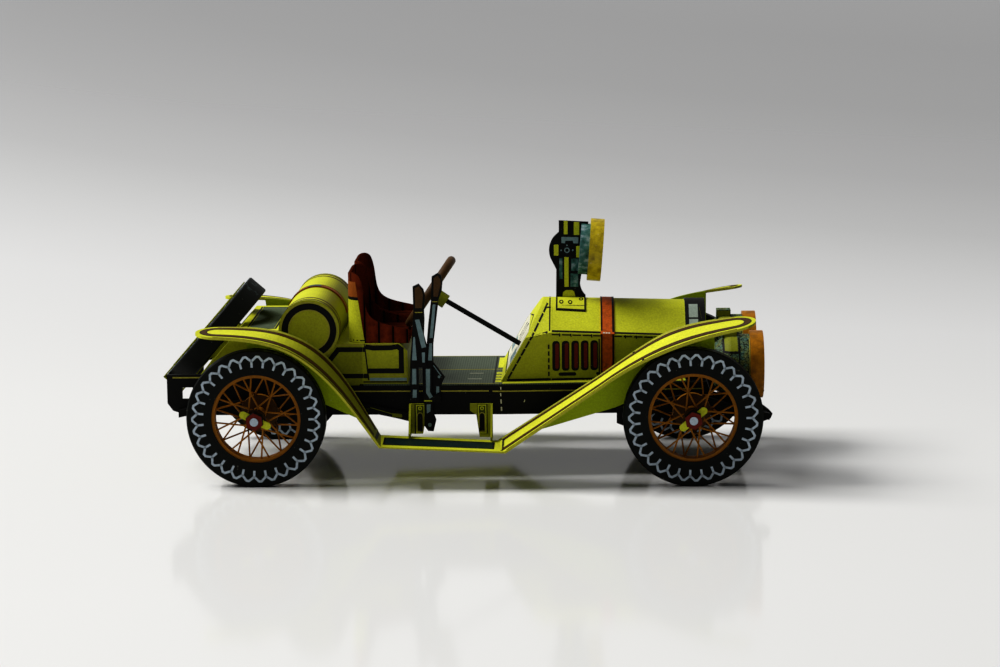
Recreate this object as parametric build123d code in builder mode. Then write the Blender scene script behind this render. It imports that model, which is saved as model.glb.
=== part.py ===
from build123d import *
import math
import os

# Card model of a brass-era open two-seat car, about 1:25, in millimetres.
# +X is forward, +Y the car's left, +Z up. The origin is the middle of the model's box, on the ground.
# Outlines in the side view are drawn from the middle of the wheelbase: x forward, z up.

os.makedirs("parts", exist_ok=True)

# ---- Driving dimensions -------------------------------------------------------------------------
WHEELBASE = 110.0
TRACK = 57.0
CARD = 0.5  # one folded layer of card, glued double
FRONT_REACH = 75.9  # middle of the wheelbase to the tip of the front horns

TYRE_RADIUS = 17.6
TYRE_WIDTH = 4.0
TYRE_EDGE = 0.3
RIM_RADIUS = 11.3  # where the tyre sits on the rim
RIM_WALL = 0.8
RIM_WIDTH = 3.2
SPOKE_RADIUS = 0.22
SPOKE_PAIRS = 8
HUB_RADIUS = 1.7
HUB_FLANGE_RADIUS = 2.3
HUB_FLANGE = 0.8
DRUM_RADIUS = 4.8
DRUM_WIDTH = 1.4
DRUM_DEPTH = 7.0  # tyre's middle plane to the drum's inner face
OUTER_LACE_TURN = 62.0
INNER_LACE_TURN = 34.0

WIRE_RADIUS = 0.6
WIRE_FIT = 0.05  # running clearance of a wheel on its axle wire
HEAD_RADIUS = 1.1
HEAD_THICKNESS = 0.5
HEAD_PLAY = 0.2
AXLE_RADIUS = 1.3
AXLE_END_GAP = 0.3
GLUE_FIT = 0.02  # clearance of a glued round joint
NUT_BASE_RADIUS = 2.6
NUT_BASE = 0.9
NUT_PLATE = 0.6
NUT_SPAN = 8.5
NUT_EAR = 1.9
NUT_HEX_RADIUS = 2.3
NUT_HEX = 2.1
NUT_DOT_RADIUS = 1.05
NUT_DOT = 0.2

FRAME_HALF = 19.8
FRAME_FRONT_HALF = 15.9
FRAME_TOP = 24.0
FRAME_BOTTOM = 16.5
RAIL = 1.2
SEAM_X = 6.5  # where the frame starts to narrow
FLOOR_STEP = 0.2  # from the side of the frame in to the edge of the floor
FLOOR_HALF = FRAME_HALF - FLOOR_STEP
FLOOR_BACK = -17.2
KICK_START = -40.0
KICK_END = -46.0
KICK_TOP = 27.0
FRAME_BOX_BACK = -62.0
FRAME_BOX_FRONT = 60.0
RAIL_END = -78.9

HOOD_BACK = 19.3
HOOD_FRONT = 53.8
COWL_BACK = 6.0
RADIATOR_FRONT = 59.0
COWL_FOOT_X = 7.0
COWL_SLOPE = 60.3
COWL_HALF = 17.0
COWL_HINGE = 34.4
COWL_CROWN = 43.6
HOOD_BACK_HALF = 15.7
HOOD_BACK_HINGE = 36.9
HOOD_BACK_CROWN = 43.4
HOOD_FRONT_HALF = 12.4
HOOD_FRONT_HINGE = 35.2
HOOD_FRONT_CROWN = 42.7
STRAP_X = 32.0
STRAP_WIDTH = 3.5
STRAP_THICKNESS = 0.3

BODY_STEP = 0.4  # from the side of the frame in to the side of the body
BODY_HALF = FRAME_HALF - BODY_STEP
SEAT_BOX_BACK = -28.6
SEAT_BOX_TOP = 34.9
BODY_TOP = 38.4
TANK_X = -41.9
TANK_Z = 38.9
TANK_RADIUS = 7.7
TANK_FIT = 0.05
TANK_END_GAP = 0.1  # to the valances beside it
TANK_STRAP_WIDTH = 3.0
TANK_STRAP_THICKNESS = 0.3

SPARE_RADIUS = 16.9
SPARE_WIDTH = 5.4
SPARE_LEAN = 48.8
SPARE_FOOT = Vector(-71.2, 27.4)  # where the spare's inner face passes the top of the rails
SPARE_LOW = 20.0  # height of the lowest edge of the spare's inner face
CARRIER_CARD = 1.0  # pad between the spare and the body
CARRIER_PAD = (3.5, 11.0)  # lower and upper end of the pad, up the spare's inner face from its foot
CARRIER_LAYER = 0.35  # strap round the spare
CARRIER_GAP = 0.1
CARRIER_WIDTH = 3.0
CARRIER_Y = 8.5
CARRIER_END = 0.5  # from the strap's upper end to the edge of the spare

WING_INNER = 23.0
WING_OUTER = 34.0
WING_CARD = 0.6
VALANCE = 0.4
TANK_HALF = WING_INNER - VALANCE - TANK_END_GAP

SEAT_STEP = 0.5  # from the side of the body in to the seats
SEAT_GAP = 0.6  # between the two seats
SEAT_HALF = (BODY_HALF - SEAT_STEP - SEAT_GAP / 2) / 2
SEAT_Y = SEAT_HALF + SEAT_GAP / 2
SEAT_WALL = 0.8
CUSHION_HEIGHT = 1.4

COLUMN_RADIUS = 0.65
COLUMN_RAKE = 30.8
COLUMN_FOOT = (10.7, 33.2)
COLUMN_LENGTH = 26.1
STEERING_RAKE = 34.0  # the wheel's own axis, a little askew on its column
STEERING_TURN = 2.3
STEERING_RADIUS = 9.6
STEERING_GAP = 1.2  # from the rim of the steering wheel to the side of the frame
COLUMN_Y = STEERING_RADIUS + STEERING_GAP - FRAME_HALF
STEERING_TUBE = 1.15

HEADLAMP_Y = 15.2
HEADLAMP_Z = 28.5
HEADLAMP_RADIUS = 8.6
HEADLAMP_RIM_BACK = 69.8
HEADLAMP_RIM = 3.4
SEARCH_X = 29.1
SEARCH_Z = 56.1
SEARCH_RADIUS = 8.1
SEARCH_RIM = 3.5
SEARCH_TILT = 4.5

HANGER_FOLDS = ((-16.9, 1), (4.4, -1))  # folded edge of each hanger, and which way its face runs
HANGER_WIDTH = 4.2
HANGER_EAR = 1.6

FLOOR_CARD = 0.4
TOP = FRAME_TOP + FLOOR_CARD

# The spare leans forward against the body's back end; its lowest outer edge is the model's back.
lean = math.radians(SPARE_LEAN)
UP_SLOPE = Vector(math.cos(lean), math.sin(lean))
OUT_BACK = Vector(-math.sin(lean), math.cos(lean))
SPARE_BOTTOM = (SPARE_LOW - SPARE_FOOT.Y) / math.sin(lean)
SPARE_BACK = SPARE_FOOT + UP_SLOPE * (SPARE_BOTTOM + TYRE_EDGE) + OUT_BACK * SPARE_WIDTH
MIDDLE = (-SPARE_BACK.X - FRONT_REACH) / 2  # x of the middle of the wheelbase


# ---- Helpers ------------------------------------------------------------------------------------
def side(y):
    """Side-view plane at a given y, measured from the middle of the wheelbase; its normal is -Y."""
    return Plane(origin=(MIDDLE, y, 0), x_dir=(1, 0, 0), z_dir=(0, -1, 0))


def across(x):
    """Cross-section plane at a given x from the middle of the wheelbase; its axes are y and z."""
    return Plane(origin=(MIDDLE + x, 0, 0), x_dir=(0, 1, 0), z_dir=(1, 0, 0))


def keep(part, name):
    """Label a finished piece and write it to its own file."""
    part.label = name
    export_step(part, f"parts/{name}.step")


def shifted(points, distance):
    """Points of an open line, each moved square to the line by a distance (plus is to the left)."""
    moved = []
    for i, (x, z) in enumerate(points):
        before = points[max(i - 1, 0)]
        after = points[min(i + 1, len(points) - 1)]
        run = math.hypot(after[0] - before[0], after[1] - before[1])
        along = ((after[0] - before[0]) / run, (after[1] - before[1]) / run)
        moved.append((x - along[1] * distance, z + along[0] * distance))
    return moved


# ---- Wheels -------------------------------------------------------------------------------------
# Each wheel is made round the Y axis with its outer face towards -Y, then placed on its axle.
with BuildPart() as tyre:
    with BuildSketch(Plane.XZ.offset(-TYRE_WIDTH / 2)):
        Circle(TYRE_RADIUS)
        Circle(RIM_RADIUS, mode=Mode.SUBTRACT)
    extrude(amount=TYRE_WIDTH)
    chamfer(tyre.edges().filter_by(GeomType.CIRCLE).group_by(SortBy.RADIUS)[-1], TYRE_EDGE)


def spoke_seats(root_radius, root_y, rim_y, turn):
    """Planes at the feet of one set of crossed spokes, each facing its place in the rim, and their length."""
    seats = []
    reach = RIM_RADIUS - RIM_WALL * 0.6
    for i in range(SPOKE_PAIRS):
        for lean in (-turn, turn):
            start = math.radians(360 / SPOKE_PAIRS * i + (0 if lean > 0 else 180 / SPOKE_PAIRS))
            end = start + math.radians(lean)
            foot = Vector(root_radius * math.cos(start), root_y, root_radius * math.sin(start))
            tip = Vector(reach * math.cos(end), rim_y, reach * math.sin(end))
            seats.append(Plane(origin=foot, z_dir=tip - foot))
    return seats, (tip - foot).length


OUTER_SEATS, OUTER_LENGTH = spoke_seats(
    HUB_FLANGE_RADIUS - 0.3, -TYRE_WIDTH / 2 + HUB_FLANGE / 2, -0.7, OUTER_LACE_TURN
)
INNER_SEATS, INNER_LENGTH = spoke_seats(DRUM_RADIUS - 0.5, DRUM_DEPTH - DRUM_WIDTH / 2, 0.7, INNER_LACE_TURN)

with BuildPart() as wire_wheel:
    with BuildSketch(Plane.XZ.offset(-RIM_WIDTH / 2)):
        Circle(RIM_RADIUS - GLUE_FIT)
        Circle(RIM_RADIUS - RIM_WALL, mode=Mode.SUBTRACT)
    extrude(amount=RIM_WIDTH)
    for seat in OUTER_SEATS:
        with BuildSketch(seat):
            Circle(SPOKE_RADIUS)
    extrude(amount=OUTER_LENGTH)
    for seat in INNER_SEATS:
        with BuildSketch(seat):
            Circle(SPOKE_RADIUS)
    extrude(amount=INNER_LENGTH)
    with BuildSketch(Plane.XZ.offset(-DRUM_DEPTH)):
        Circle(HUB_RADIUS)
    extrude(amount=DRUM_DEPTH + TYRE_WIDTH / 2)
    with BuildSketch(Plane.XZ.offset(-DRUM_DEPTH)):
        Circle(DRUM_RADIUS)
    extrude(amount=DRUM_WIDTH)
    with BuildSketch(Plane.XZ.offset(TYRE_WIDTH / 2)):
        Circle(HUB_FLANGE_RADIUS)
    extrude(amount=-HUB_FLANGE)
    with BuildSketch(Plane.XZ.offset(-DRUM_DEPTH)):
        Circle(WIRE_RADIUS + WIRE_FIT)
    extrude(amount=DRUM_DEPTH + TYRE_WIDTH / 2, mode=Mode.SUBTRACT)

with BuildPart() as hub_nut:
    with BuildSketch(Plane.XZ.offset(TYRE_WIDTH / 2)):
        Circle(NUT_BASE_RADIUS)
    extrude(amount=NUT_BASE)
    with BuildSketch(Plane.XZ.offset(TYRE_WIDTH / 2 + NUT_BASE)):
        SlotOverall(NUT_SPAN, NUT_EAR)
    extrude(amount=NUT_PLATE)
    with BuildSketch(Plane.XZ.offset(TYRE_WIDTH / 2 + NUT_BASE)):
        RegularPolygon(NUT_HEX_RADIUS, 6)
    extrude(amount=NUT_PLATE + NUT_HEX)
    with BuildSketch(Plane.XZ.offset(TYRE_WIDTH / 2 + NUT_BASE + NUT_PLATE + NUT_HEX)):
        Circle(NUT_DOT_RADIUS)
    extrude(amount=NUT_DOT)
    with BuildSketch(Plane.XZ.offset(TYRE_WIDTH / 2)):
        Circle(HEAD_RADIUS + HEAD_PLAY)
    extrude(amount=HEAD_THICKNESS + 2 * HEAD_PLAY, mode=Mode.SUBTRACT)

NUT_TURNS = {"front_right": 40, "rear_right": -25, "front_left": 15, "rear_left": 70}
for corner, nut_turn in NUT_TURNS.items():
    axle_x = MIDDLE + (WHEELBASE / 2 if corner.startswith("front") else -WHEELBASE / 2)
    right = corner.endswith("right")
    place = Location((axle_x, -TRACK / 2 if right else TRACK / 2, TYRE_RADIUS), (0, 0, 0 if right else 180))
    keep(tyre.part.moved(place), f"tyre_{corner}")
    keep(wire_wheel.part.moved(place), f"wheel_{corner}")
    keep(hub_nut.part.moved(place * Location((0, 0, 0), (0, -nut_turn, 0))), f"hub_nut_{corner}")

# ---- Axles --------------------------------------------------------------------------------------
HEAD_FACE = TRACK / 2 + TYRE_WIDTH / 2 + HEAD_PLAY
for end, axle_x in (("front", WHEELBASE / 2), ("rear", -WHEELBASE / 2)):
    with BuildPart() as axle_wire:
        with BuildSketch(side(HEAD_FACE)):
            with Locations((axle_x, TYRE_RADIUS)):
                Circle(WIRE_RADIUS)
        extrude(amount=2 * HEAD_FACE)
        with BuildSketch(side(-HEAD_FACE)):
            with Locations((axle_x, TYRE_RADIUS)):
                Circle(HEAD_RADIUS)
        extrude(amount=HEAD_THICKNESS)
        with BuildSketch(side(HEAD_FACE)):
            with Locations((axle_x, TYRE_RADIUS)):
                Circle(HEAD_RADIUS)
        extrude(amount=-HEAD_THICKNESS)
    keep(axle_wire.part, f"{end}_axle_wire")

AXLE_HALF = TRACK / 2 - DRUM_DEPTH - AXLE_END_GAP
DIFFERENTIAL_RADIUS = 4.0
DIFFERENTIAL_HALF = 3.0
with BuildPart() as front_axle:
    with BuildSketch(side(AXLE_HALF)):
        with Locations((WHEELBASE / 2, TYRE_RADIUS)):
            Circle(AXLE_RADIUS)
            Circle(WIRE_RADIUS + GLUE_FIT, mode=Mode.SUBTRACT)
    extrude(amount=2 * AXLE_HALF)
keep(front_axle.part, "front_axle")

with BuildPart() as rear_axle:
    with BuildSketch(side(AXLE_HALF)):
        with Locations((-WHEELBASE / 2, TYRE_RADIUS)):
            Circle(AXLE_RADIUS)
    extrude(amount=2 * AXLE_HALF)
    with BuildSketch(side(DIFFERENTIAL_HALF)):
        with Locations((-WHEELBASE / 2, TYRE_RADIUS)):
            Circle(DIFFERENTIAL_RADIUS)
    extrude(amount=2 * DIFFERENTIAL_HALF)
    with BuildSketch(side(AXLE_HALF)):
        with Locations((-WHEELBASE / 2, TYRE_RADIUS)):
            Circle(WIRE_RADIUS + GLUE_FIT)
    extrude(amount=2 * AXLE_HALF, mode=Mode.SUBTRACT)
keep(rear_axle.part, "rear_axle")

# ---- Frame --------------------------------------------------------------------------------------
HORN_TOP = [(FRAME_BOX_FRONT, 21.5), (65.0, 20.3), (73.1, 18.1), (74.9, 16.7)]
HORN_BOTTOM = [(FRONT_REACH, 15.6), (75.4, 14.4), (73.1, 13.5), (FRAME_BOX_FRONT, 16.2)]
with BuildPart() as frame:
    with BuildSketch(side(FRAME_HALF)):
        with BuildLine():
            Polyline(
                (RAIL_END, KICK_TOP),
                (RAIL_END, 19.6),
                (RAIL_END + 1.4, 17.7),
                (RAIL_END + 5.0, FRAME_BOTTOM),
                (SEAM_X, FRAME_BOTTOM),
                *reversed(HORN_BOTTOM),
                *reversed(HORN_TOP),
                (RADIATOR_FRONT, FRAME_TOP),
                (KICK_START, FRAME_TOP),
                (KICK_END, KICK_TOP),
                close=True,
            )
        make_face()
    extrude(amount=2 * FRAME_HALF)
    # The rails run parallel behind the seam and draw in towards the horns.
    with BuildSketch(Plane.XY.offset(FRAME_BOTTOM - 4)):
        with BuildLine():
            Polyline(
                (MIDDLE + RAIL_END, -FRAME_HALF),
                (MIDDLE + SEAM_X, -FRAME_HALF),
                (MIDDLE + FRAME_BOX_FRONT, -FRAME_FRONT_HALF),
                (MIDDLE + FRONT_REACH, -FRAME_FRONT_HALF),
                (MIDDLE + FRONT_REACH, FRAME_FRONT_HALF),
                (MIDDLE + FRAME_BOX_FRONT, FRAME_FRONT_HALF),
                (MIDDLE + SEAM_X, FRAME_HALF),
                (MIDDLE + RAIL_END, FRAME_HALF),
                close=True,
            )
        make_face()
    extrude(amount=KICK_TOP - FRAME_BOTTOM + 8, mode=Mode.INTERSECT)
    # Open between the rails behind the box and between the horns in front of it.
    with BuildSketch(Plane.XY.offset(FRAME_BOTTOM - 4)):
        with Locations((MIDDLE + (RAIL_END + FRAME_BOX_BACK) / 2 - 1, 0)):
            Rectangle(FRAME_BOX_BACK - RAIL_END + 2, 2 * (FRAME_HALF - RAIL))
        with Locations((MIDDLE + (FRONT_REACH + FRAME_BOX_FRONT) / 2 + 1, 0)):
            Rectangle(FRONT_REACH - FRAME_BOX_FRONT + 2, 2 * (FRAME_FRONT_HALF - RAIL))
    extrude(amount=KICK_TOP - FRAME_BOTTOM + 8, mode=Mode.SUBTRACT)
    # Window in each rail by the rear spring eye.
    with BuildSketch(side(FRAME_HALF)):
        with Locations((RAIL_END + 5.2, 22.2)):
            Rectangle(2.8, 3.1)
    extrude(amount=2 * FRAME_HALF, mode=Mode.SUBTRACT)
    # Slots for the axles, open below, and the pocket of the differential.
    with BuildSketch(side(FRAME_HALF)):
        for axle_x in (-WHEELBASE / 2, WHEELBASE / 2):
            with Locations((axle_x, TYRE_RADIUS)):
                Circle(AXLE_RADIUS + GLUE_FIT)
            with Locations((axle_x, TYRE_RADIUS - 3)):
                Rectangle(2 * (AXLE_RADIUS + GLUE_FIT), 6)
    extrude(amount=2 * FRAME_HALF, mode=Mode.SUBTRACT)
    with BuildSketch(side(DIFFERENTIAL_HALF + CARD)):
        with Locations((-WHEELBASE / 2, TYRE_RADIUS)):
            Circle(DIFFERENTIAL_RADIUS + CARD)
    extrude(amount=2 * (DIFFERENTIAL_HALF + CARD), mode=Mode.SUBTRACT)
keep(frame.part, "frame")

with BuildPart() as floor_board:
    with BuildSketch(Plane.XY.offset(FRAME_TOP)):
        with BuildLine():
            narrow = FLOOR_HALF - (FRAME_HALF - FRAME_FRONT_HALF) * (
                (HOOD_FRONT - SEAM_X) / (FRAME_BOX_FRONT - SEAM_X)
            )
            Polyline(
                (MIDDLE + SEAT_BOX_BACK, -FLOOR_HALF),
                (MIDDLE + SEAM_X, -FLOOR_HALF),
                (MIDDLE + HOOD_FRONT, -narrow),
                (MIDDLE + HOOD_FRONT, narrow),
                (MIDDLE + SEAM_X, FLOOR_HALF),
                (MIDDLE + SEAT_BOX_BACK, FLOOR_HALF),
                close=True,
            )
        make_face()
    extrude(amount=FLOOR_CARD)
keep(floor_board.part, "floor_board")

# ---- Springs ------------------------------------------------------------------------------------
SPRING_WIDTH = 1.6
SPRING_DEPTH = 1.9
SPRING_PAD = 3.0  # flat of a spring before and behind its axle
SPRING_SEAT = TYRE_RADIUS + AXLE_RADIUS + 0.25  # underside of the springs over the axle tubes
REAR_SPRING_FRONT = (HANGER_FOLDS[0][0] - 0.1, 15.1)
REAR_SPRING_BACK = (RAIL_END + 3, 16.2)
REAR_SPRING_CROWN = SPRING_PAD - WHEELBASE / 2
with BuildPart() as rear_springs:
    for y in (-FRAME_HALF, FRAME_HALF + SPRING_WIDTH):
        with BuildSketch(side(y)):
            with BuildLine():
                lower = ThreePointArc(REAR_SPRING_BACK, (REAR_SPRING_CROWN, SPRING_SEAT), REAR_SPRING_FRONT)
                upper = ThreePointArc(
                    (REAR_SPRING_BACK[0], REAR_SPRING_BACK[1] + SPRING_DEPTH),
                    (REAR_SPRING_CROWN, SPRING_SEAT + SPRING_DEPTH),
                    (REAR_SPRING_FRONT[0], REAR_SPRING_FRONT[1] + SPRING_DEPTH),
                )
                Line(lower @ 0, upper @ 0)
                Line(lower @ 1, upper @ 1)
            make_face()
        extrude(amount=SPRING_WIDTH)
keep(rear_springs.part, "rear_springs")

FRONT_SPRING_BACK = 36.0
FRONT_SPRING_Y = FRAME_HALF - (FRAME_HALF - FRAME_FRONT_HALF) * (
    (FRONT_SPRING_BACK - SEAM_X) / (FRAME_BOX_FRONT - SEAM_X)
)
FRONT_SPRING_TIP = FRONT_REACH - 1
FRONT_PAD_BACK = WHEELBASE / 2 - SPRING_PAD
FRONT_PAD_FRONT = WHEELBASE / 2 + SPRING_PAD
FRONT_SPRING_RISE = FRONT_PAD_BACK - 6 / 16 * (FRONT_PAD_BACK - FRONT_SPRING_BACK)
FRONT_SPRING_FALL = FRONT_PAD_FRONT + 80 / 169 * (FRONT_SPRING_TIP - FRONT_PAD_FRONT)
SHACKLE_RADIUS = 0.8
with BuildPart() as front_springs:
    for sign in (1, -1):
        inner = sign * FRONT_SPRING_Y
        with BuildSketch(side(inner)):
            with BuildLine():
                Polyline(
                    (FRONT_SPRING_BACK, 14.0),
                    (FRONT_SPRING_BACK, 17.8),
                    (FRONT_SPRING_RISE, 19.6),
                    (FRONT_PAD_BACK, SPRING_SEAT + SPRING_DEPTH),
                    (FRONT_PAD_FRONT, SPRING_SEAT + SPRING_DEPTH),
                    (FRONT_SPRING_FALL, 18.4),
                    (FRONT_SPRING_TIP, 16.4),
                    (FRONT_SPRING_TIP, 14.7),
                    (FRONT_SPRING_FALL, 16.0),
                    (FRONT_PAD_FRONT, SPRING_SEAT),
                    (FRONT_PAD_BACK, SPRING_SEAT),
                    (38.0, 13.2),
                    close=True,
                )
            make_face()
        extrude(amount=-sign * SPRING_WIDTH)
        with BuildSketch(side(inner)):
            with Locations((FRONT_REACH - 2.2, 15.9)):
                Circle(SHACKLE_RADIUS)
        extrude(amount=sign * (FRONT_SPRING_Y - FRAME_FRONT_HALF))
keep(front_springs.part, "front_springs")

# ---- Body behind the seats, and the seat box ----------------------------------------------------
# The body's back end is parallel to the spare, one pad in front of it.
BACK_FOOT = SPARE_FOOT - OUT_BACK * CARRIER_CARD


def on_back(z):
    """Point of the body's sloping back end at a height."""
    return (BACK_FOOT.X + (z - BACK_FOOT.Y) / math.tan(lean), z)


with BuildPart() as rear_body:
    with BuildSketch(side(BODY_HALF)):
        with BuildLine():
            Polyline(
                (SEAT_BOX_BACK, TOP),
                (SEAT_BOX_BACK, SEAT_BOX_TOP),
                (TANK_X + 4, SEAT_BOX_TOP),
                (TANK_X - 4, BODY_TOP),
                on_back(BODY_TOP),
                on_back(KICK_TOP),
                (KICK_END, KICK_TOP),
                (KICK_START, FRAME_TOP),
                (SEAT_BOX_BACK - 1, FRAME_TOP),
                (SEAT_BOX_BACK - 1, TOP),
                close=True,
            )
        make_face()
        with Locations((TANK_X, TANK_Z)):
            Circle(TANK_RADIUS + TANK_FIT, mode=Mode.SUBTRACT)
    extrude(amount=2 * BODY_HALF)
keep(rear_body.part, "rear_body")

with BuildPart() as seat_box:
    with BuildSketch(side(BODY_HALF)):
        with BuildLine():
            Polyline(
                (SEAT_BOX_BACK, TOP),
                (FLOOR_BACK, TOP),
                (FLOOR_BACK, SEAT_BOX_TOP - 2),
                (FLOOR_BACK - 2, SEAT_BOX_TOP),
                (SEAT_BOX_BACK, SEAT_BOX_TOP),
                close=True,
            )
        make_face()
    extrude(amount=2 * BODY_HALF)
keep(seat_box.part, "seat_box")

with BuildPart() as fuel_tank:
    with BuildSketch(side(TANK_HALF)):
        with Locations((TANK_X, TANK_Z)):
            Circle(TANK_RADIUS)
    extrude(amount=2 * TANK_HALF)
keep(fuel_tank.part, "fuel_tank")

with BuildPart() as tank_strap:
    with BuildSketch(side(TANK_STRAP_WIDTH / 2)):
        with Locations((TANK_X, TANK_Z)):
            Circle(TANK_RADIUS + GLUE_FIT + TANK_STRAP_THICKNESS)
            Circle(TANK_RADIUS + GLUE_FIT, mode=Mode.SUBTRACT)
        with Locations((TANK_X, TANK_Z - TANK_RADIUS + 1)):
            Rectangle(4 * TANK_RADIUS, 2 * TANK_RADIUS, mode=Mode.SUBTRACT)
    extrude(amount=TANK_STRAP_WIDTH)
keep(tank_strap.part, "tank_strap")

# ---- Spare tyre and its carrier -----------------------------------------------------------------
SPARE_MIDDLE = SPARE_FOOT + UP_SLOPE * (SPARE_BOTTOM + SPARE_RADIUS)
spare_plane = Plane(
    origin=(MIDDLE + SPARE_MIDDLE.X, 0, SPARE_MIDDLE.Y),
    x_dir=(0, 1, 0),
    z_dir=(OUT_BACK.X, 0, OUT_BACK.Y),
)
with BuildPart() as spare_tyre:
    with BuildSketch(spare_plane):
        Circle(SPARE_RADIUS)
        Circle(RIM_RADIUS, mode=Mode.SUBTRACT)
    extrude(amount=SPARE_WIDTH)
    chamfer(spare_tyre.edges().filter_by(GeomType.CIRCLE).group_by(SortBy.RADIUS)[-1], TYRE_EDGE)
keep(spare_tyre.part, "spare_tyre")



def on_spare(up, out):
    """Side-view point a distance up the spare's inner face from its foot and outwards from that face."""
    point = SPARE_FOOT + UP_SLOPE * up + OUT_BACK * out
    return (point.X, point.Y)


# Each card strap starts as a pad on the body's back end, passes under the tyre and runs up its outer face.
spare_centre = SPARE_BOTTOM + SPARE_RADIUS
strap_low = spare_centre - math.sqrt(SPARE_RADIUS**2 - (CARRIER_Y - CARRIER_WIDTH / 2) ** 2) - CARRIER_GAP
strap_top = spare_centre + math.sqrt(SPARE_RADIUS**2 - (CARRIER_Y + CARRIER_WIDTH / 2) ** 2) - CARRIER_END
strap_in = SPARE_WIDTH + CARRIER_GAP
strap_out = strap_in + CARRIER_LAYER
strap_outline = [
    on_spare(CARRIER_PAD[1], 0),
    on_spare(strap_low, 0),
    on_spare(strap_low, strap_in),
    on_spare(strap_top, strap_in),
    on_spare(strap_top, strap_out),
    on_spare(strap_low - CARRIER_LAYER, strap_out),
    on_spare(strap_low - CARRIER_LAYER, -CARRIER_LAYER),
    on_spare(CARRIER_PAD[0], -CARRIER_LAYER),
    on_spare(CARRIER_PAD[0], -CARRIER_CARD),
    on_spare(CARRIER_PAD[1], -CARRIER_CARD),
]
with BuildPart() as spare_carrier:
    for y in (-CARRIER_Y + CARRIER_WIDTH / 2, CARRIER_Y + CARRIER_WIDTH / 2):
        with BuildSketch(side(y)):
            with BuildLine():
                Polyline(*strap_outline, close=True)
            make_face()
        extrude(amount=CARRIER_WIDTH)
keep(spare_carrier.part, "spare_carrier")

# ---- Cowl, dashboard, hood and radiator ---------------------------------------------------------
SHOULDER = 0.42  # share of the half width where the sloping top meets the round crown
SHOULDER_RISE = 0.82


def bonnet_edges(half, hinge, crown, grow=0.0):
    """Left foot, hinge and shoulder, the crown, and the same on the right, of a section over the engine."""
    wide = half + grow
    edge = hinge + 0.5 * grow
    top = crown + grow
    shoulder = (SHOULDER * half, edge + SHOULDER_RISE * (top - edge))
    right = [shoulder, (wide, edge), (wide, TOP)]
    left = [(-y, z) for y, z in reversed(right)]
    return left, (0.0, top), right


def hood_size(x):
    """Half width, hinge height and crown height of the hood at x."""
    share = (x - HOOD_BACK) / (HOOD_FRONT - HOOD_BACK)
    back = (HOOD_BACK_HALF, HOOD_BACK_HINGE, HOOD_BACK_CROWN)
    front = (HOOD_FRONT_HALF, HOOD_FRONT_HINGE, HOOD_FRONT_CROWN)
    return [b + (f - b) * share for b, f in zip(back, front)]


dash_lean = math.radians(COWL_SLOPE)
dash_plane = Plane(
    origin=(MIDDLE + COWL_FOOT_X, 0, TOP),
    x_dir=(0, 1, 0),
    z_dir=(math.sin(dash_lean), 0, -math.cos(dash_lean)),
)
with BuildPart() as cowl_block:
    for x, size in ((COWL_BACK, (COWL_HALF, COWL_HINGE, COWL_CROWN)), (HOOD_BACK, hood_size(HOOD_BACK))):
        left, crown, right = bonnet_edges(*size)
        with BuildSketch(across(x)):
            with BuildLine():
                Polyline(*left)
                ThreePointArc(left[-1], crown, right[0])
                Polyline(*right)
                Line(right[-1], left[0])
            make_face()
    loft(ruled=True)

with BuildPart() as cowl:
    add(cowl_block.part)
    split(bisect_by=dash_plane, keep=Keep.TOP)
keep(cowl.part, "cowl")

with BuildPart() as dashboard:
    add(cowl_block.part)
    split(bisect_by=dash_plane, keep=Keep.BOTTOM)
    split(bisect_by=dash_plane.offset(-CARD), keep=Keep.TOP)
keep(dashboard.part, "dashboard")

with BuildPart() as hood:
    for x in (HOOD_BACK, HOOD_FRONT):
        left, crown, right = bonnet_edges(*hood_size(x))
        with BuildSketch(across(x)):
            with BuildLine():
                Polyline(*left)
                ThreePointArc(left[-1], crown, right[0])
                Polyline(*right)
                Line(right[-1], left[0])
            make_face()
    loft(ruled=True)
keep(hood.part, "hood")

with BuildPart() as hood_strap:
    for x in (STRAP_X, STRAP_X + STRAP_WIDTH):
        left, crown, right = bonnet_edges(*hood_size(x), STRAP_THICKNESS)
        with BuildSketch(across(x)):
            with BuildLine():
                Polyline(*left)
                ThreePointArc(left[-1], crown, right[0])
                Polyline(*right)
                Line(right[-1], left[0])
            make_face()
    loft(ruled=True)
    add(hood.part, mode=Mode.SUBTRACT)
keep(hood_strap.part, "hood_strap")

RADIATOR_GROW = 0.4
with BuildPart() as radiator:
    left, crown, right = bonnet_edges(*hood_size(HOOD_FRONT), RADIATOR_GROW)
    with BuildSketch(across(HOOD_FRONT)):
        with BuildLine():
            Polyline((left[0][0], FRAME_TOP), *left)
            ThreePointArc(left[-1], crown, right[0])
            Polyline(*right, (right[-1][0], FRAME_TOP))
            Line((right[-1][0], FRAME_TOP), (left[0][0], FRAME_TOP))
        make_face()
    extrude(amount=RADIATOR_FRONT - HOOD_FRONT)
keep(radiator.part, "radiator")

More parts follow.
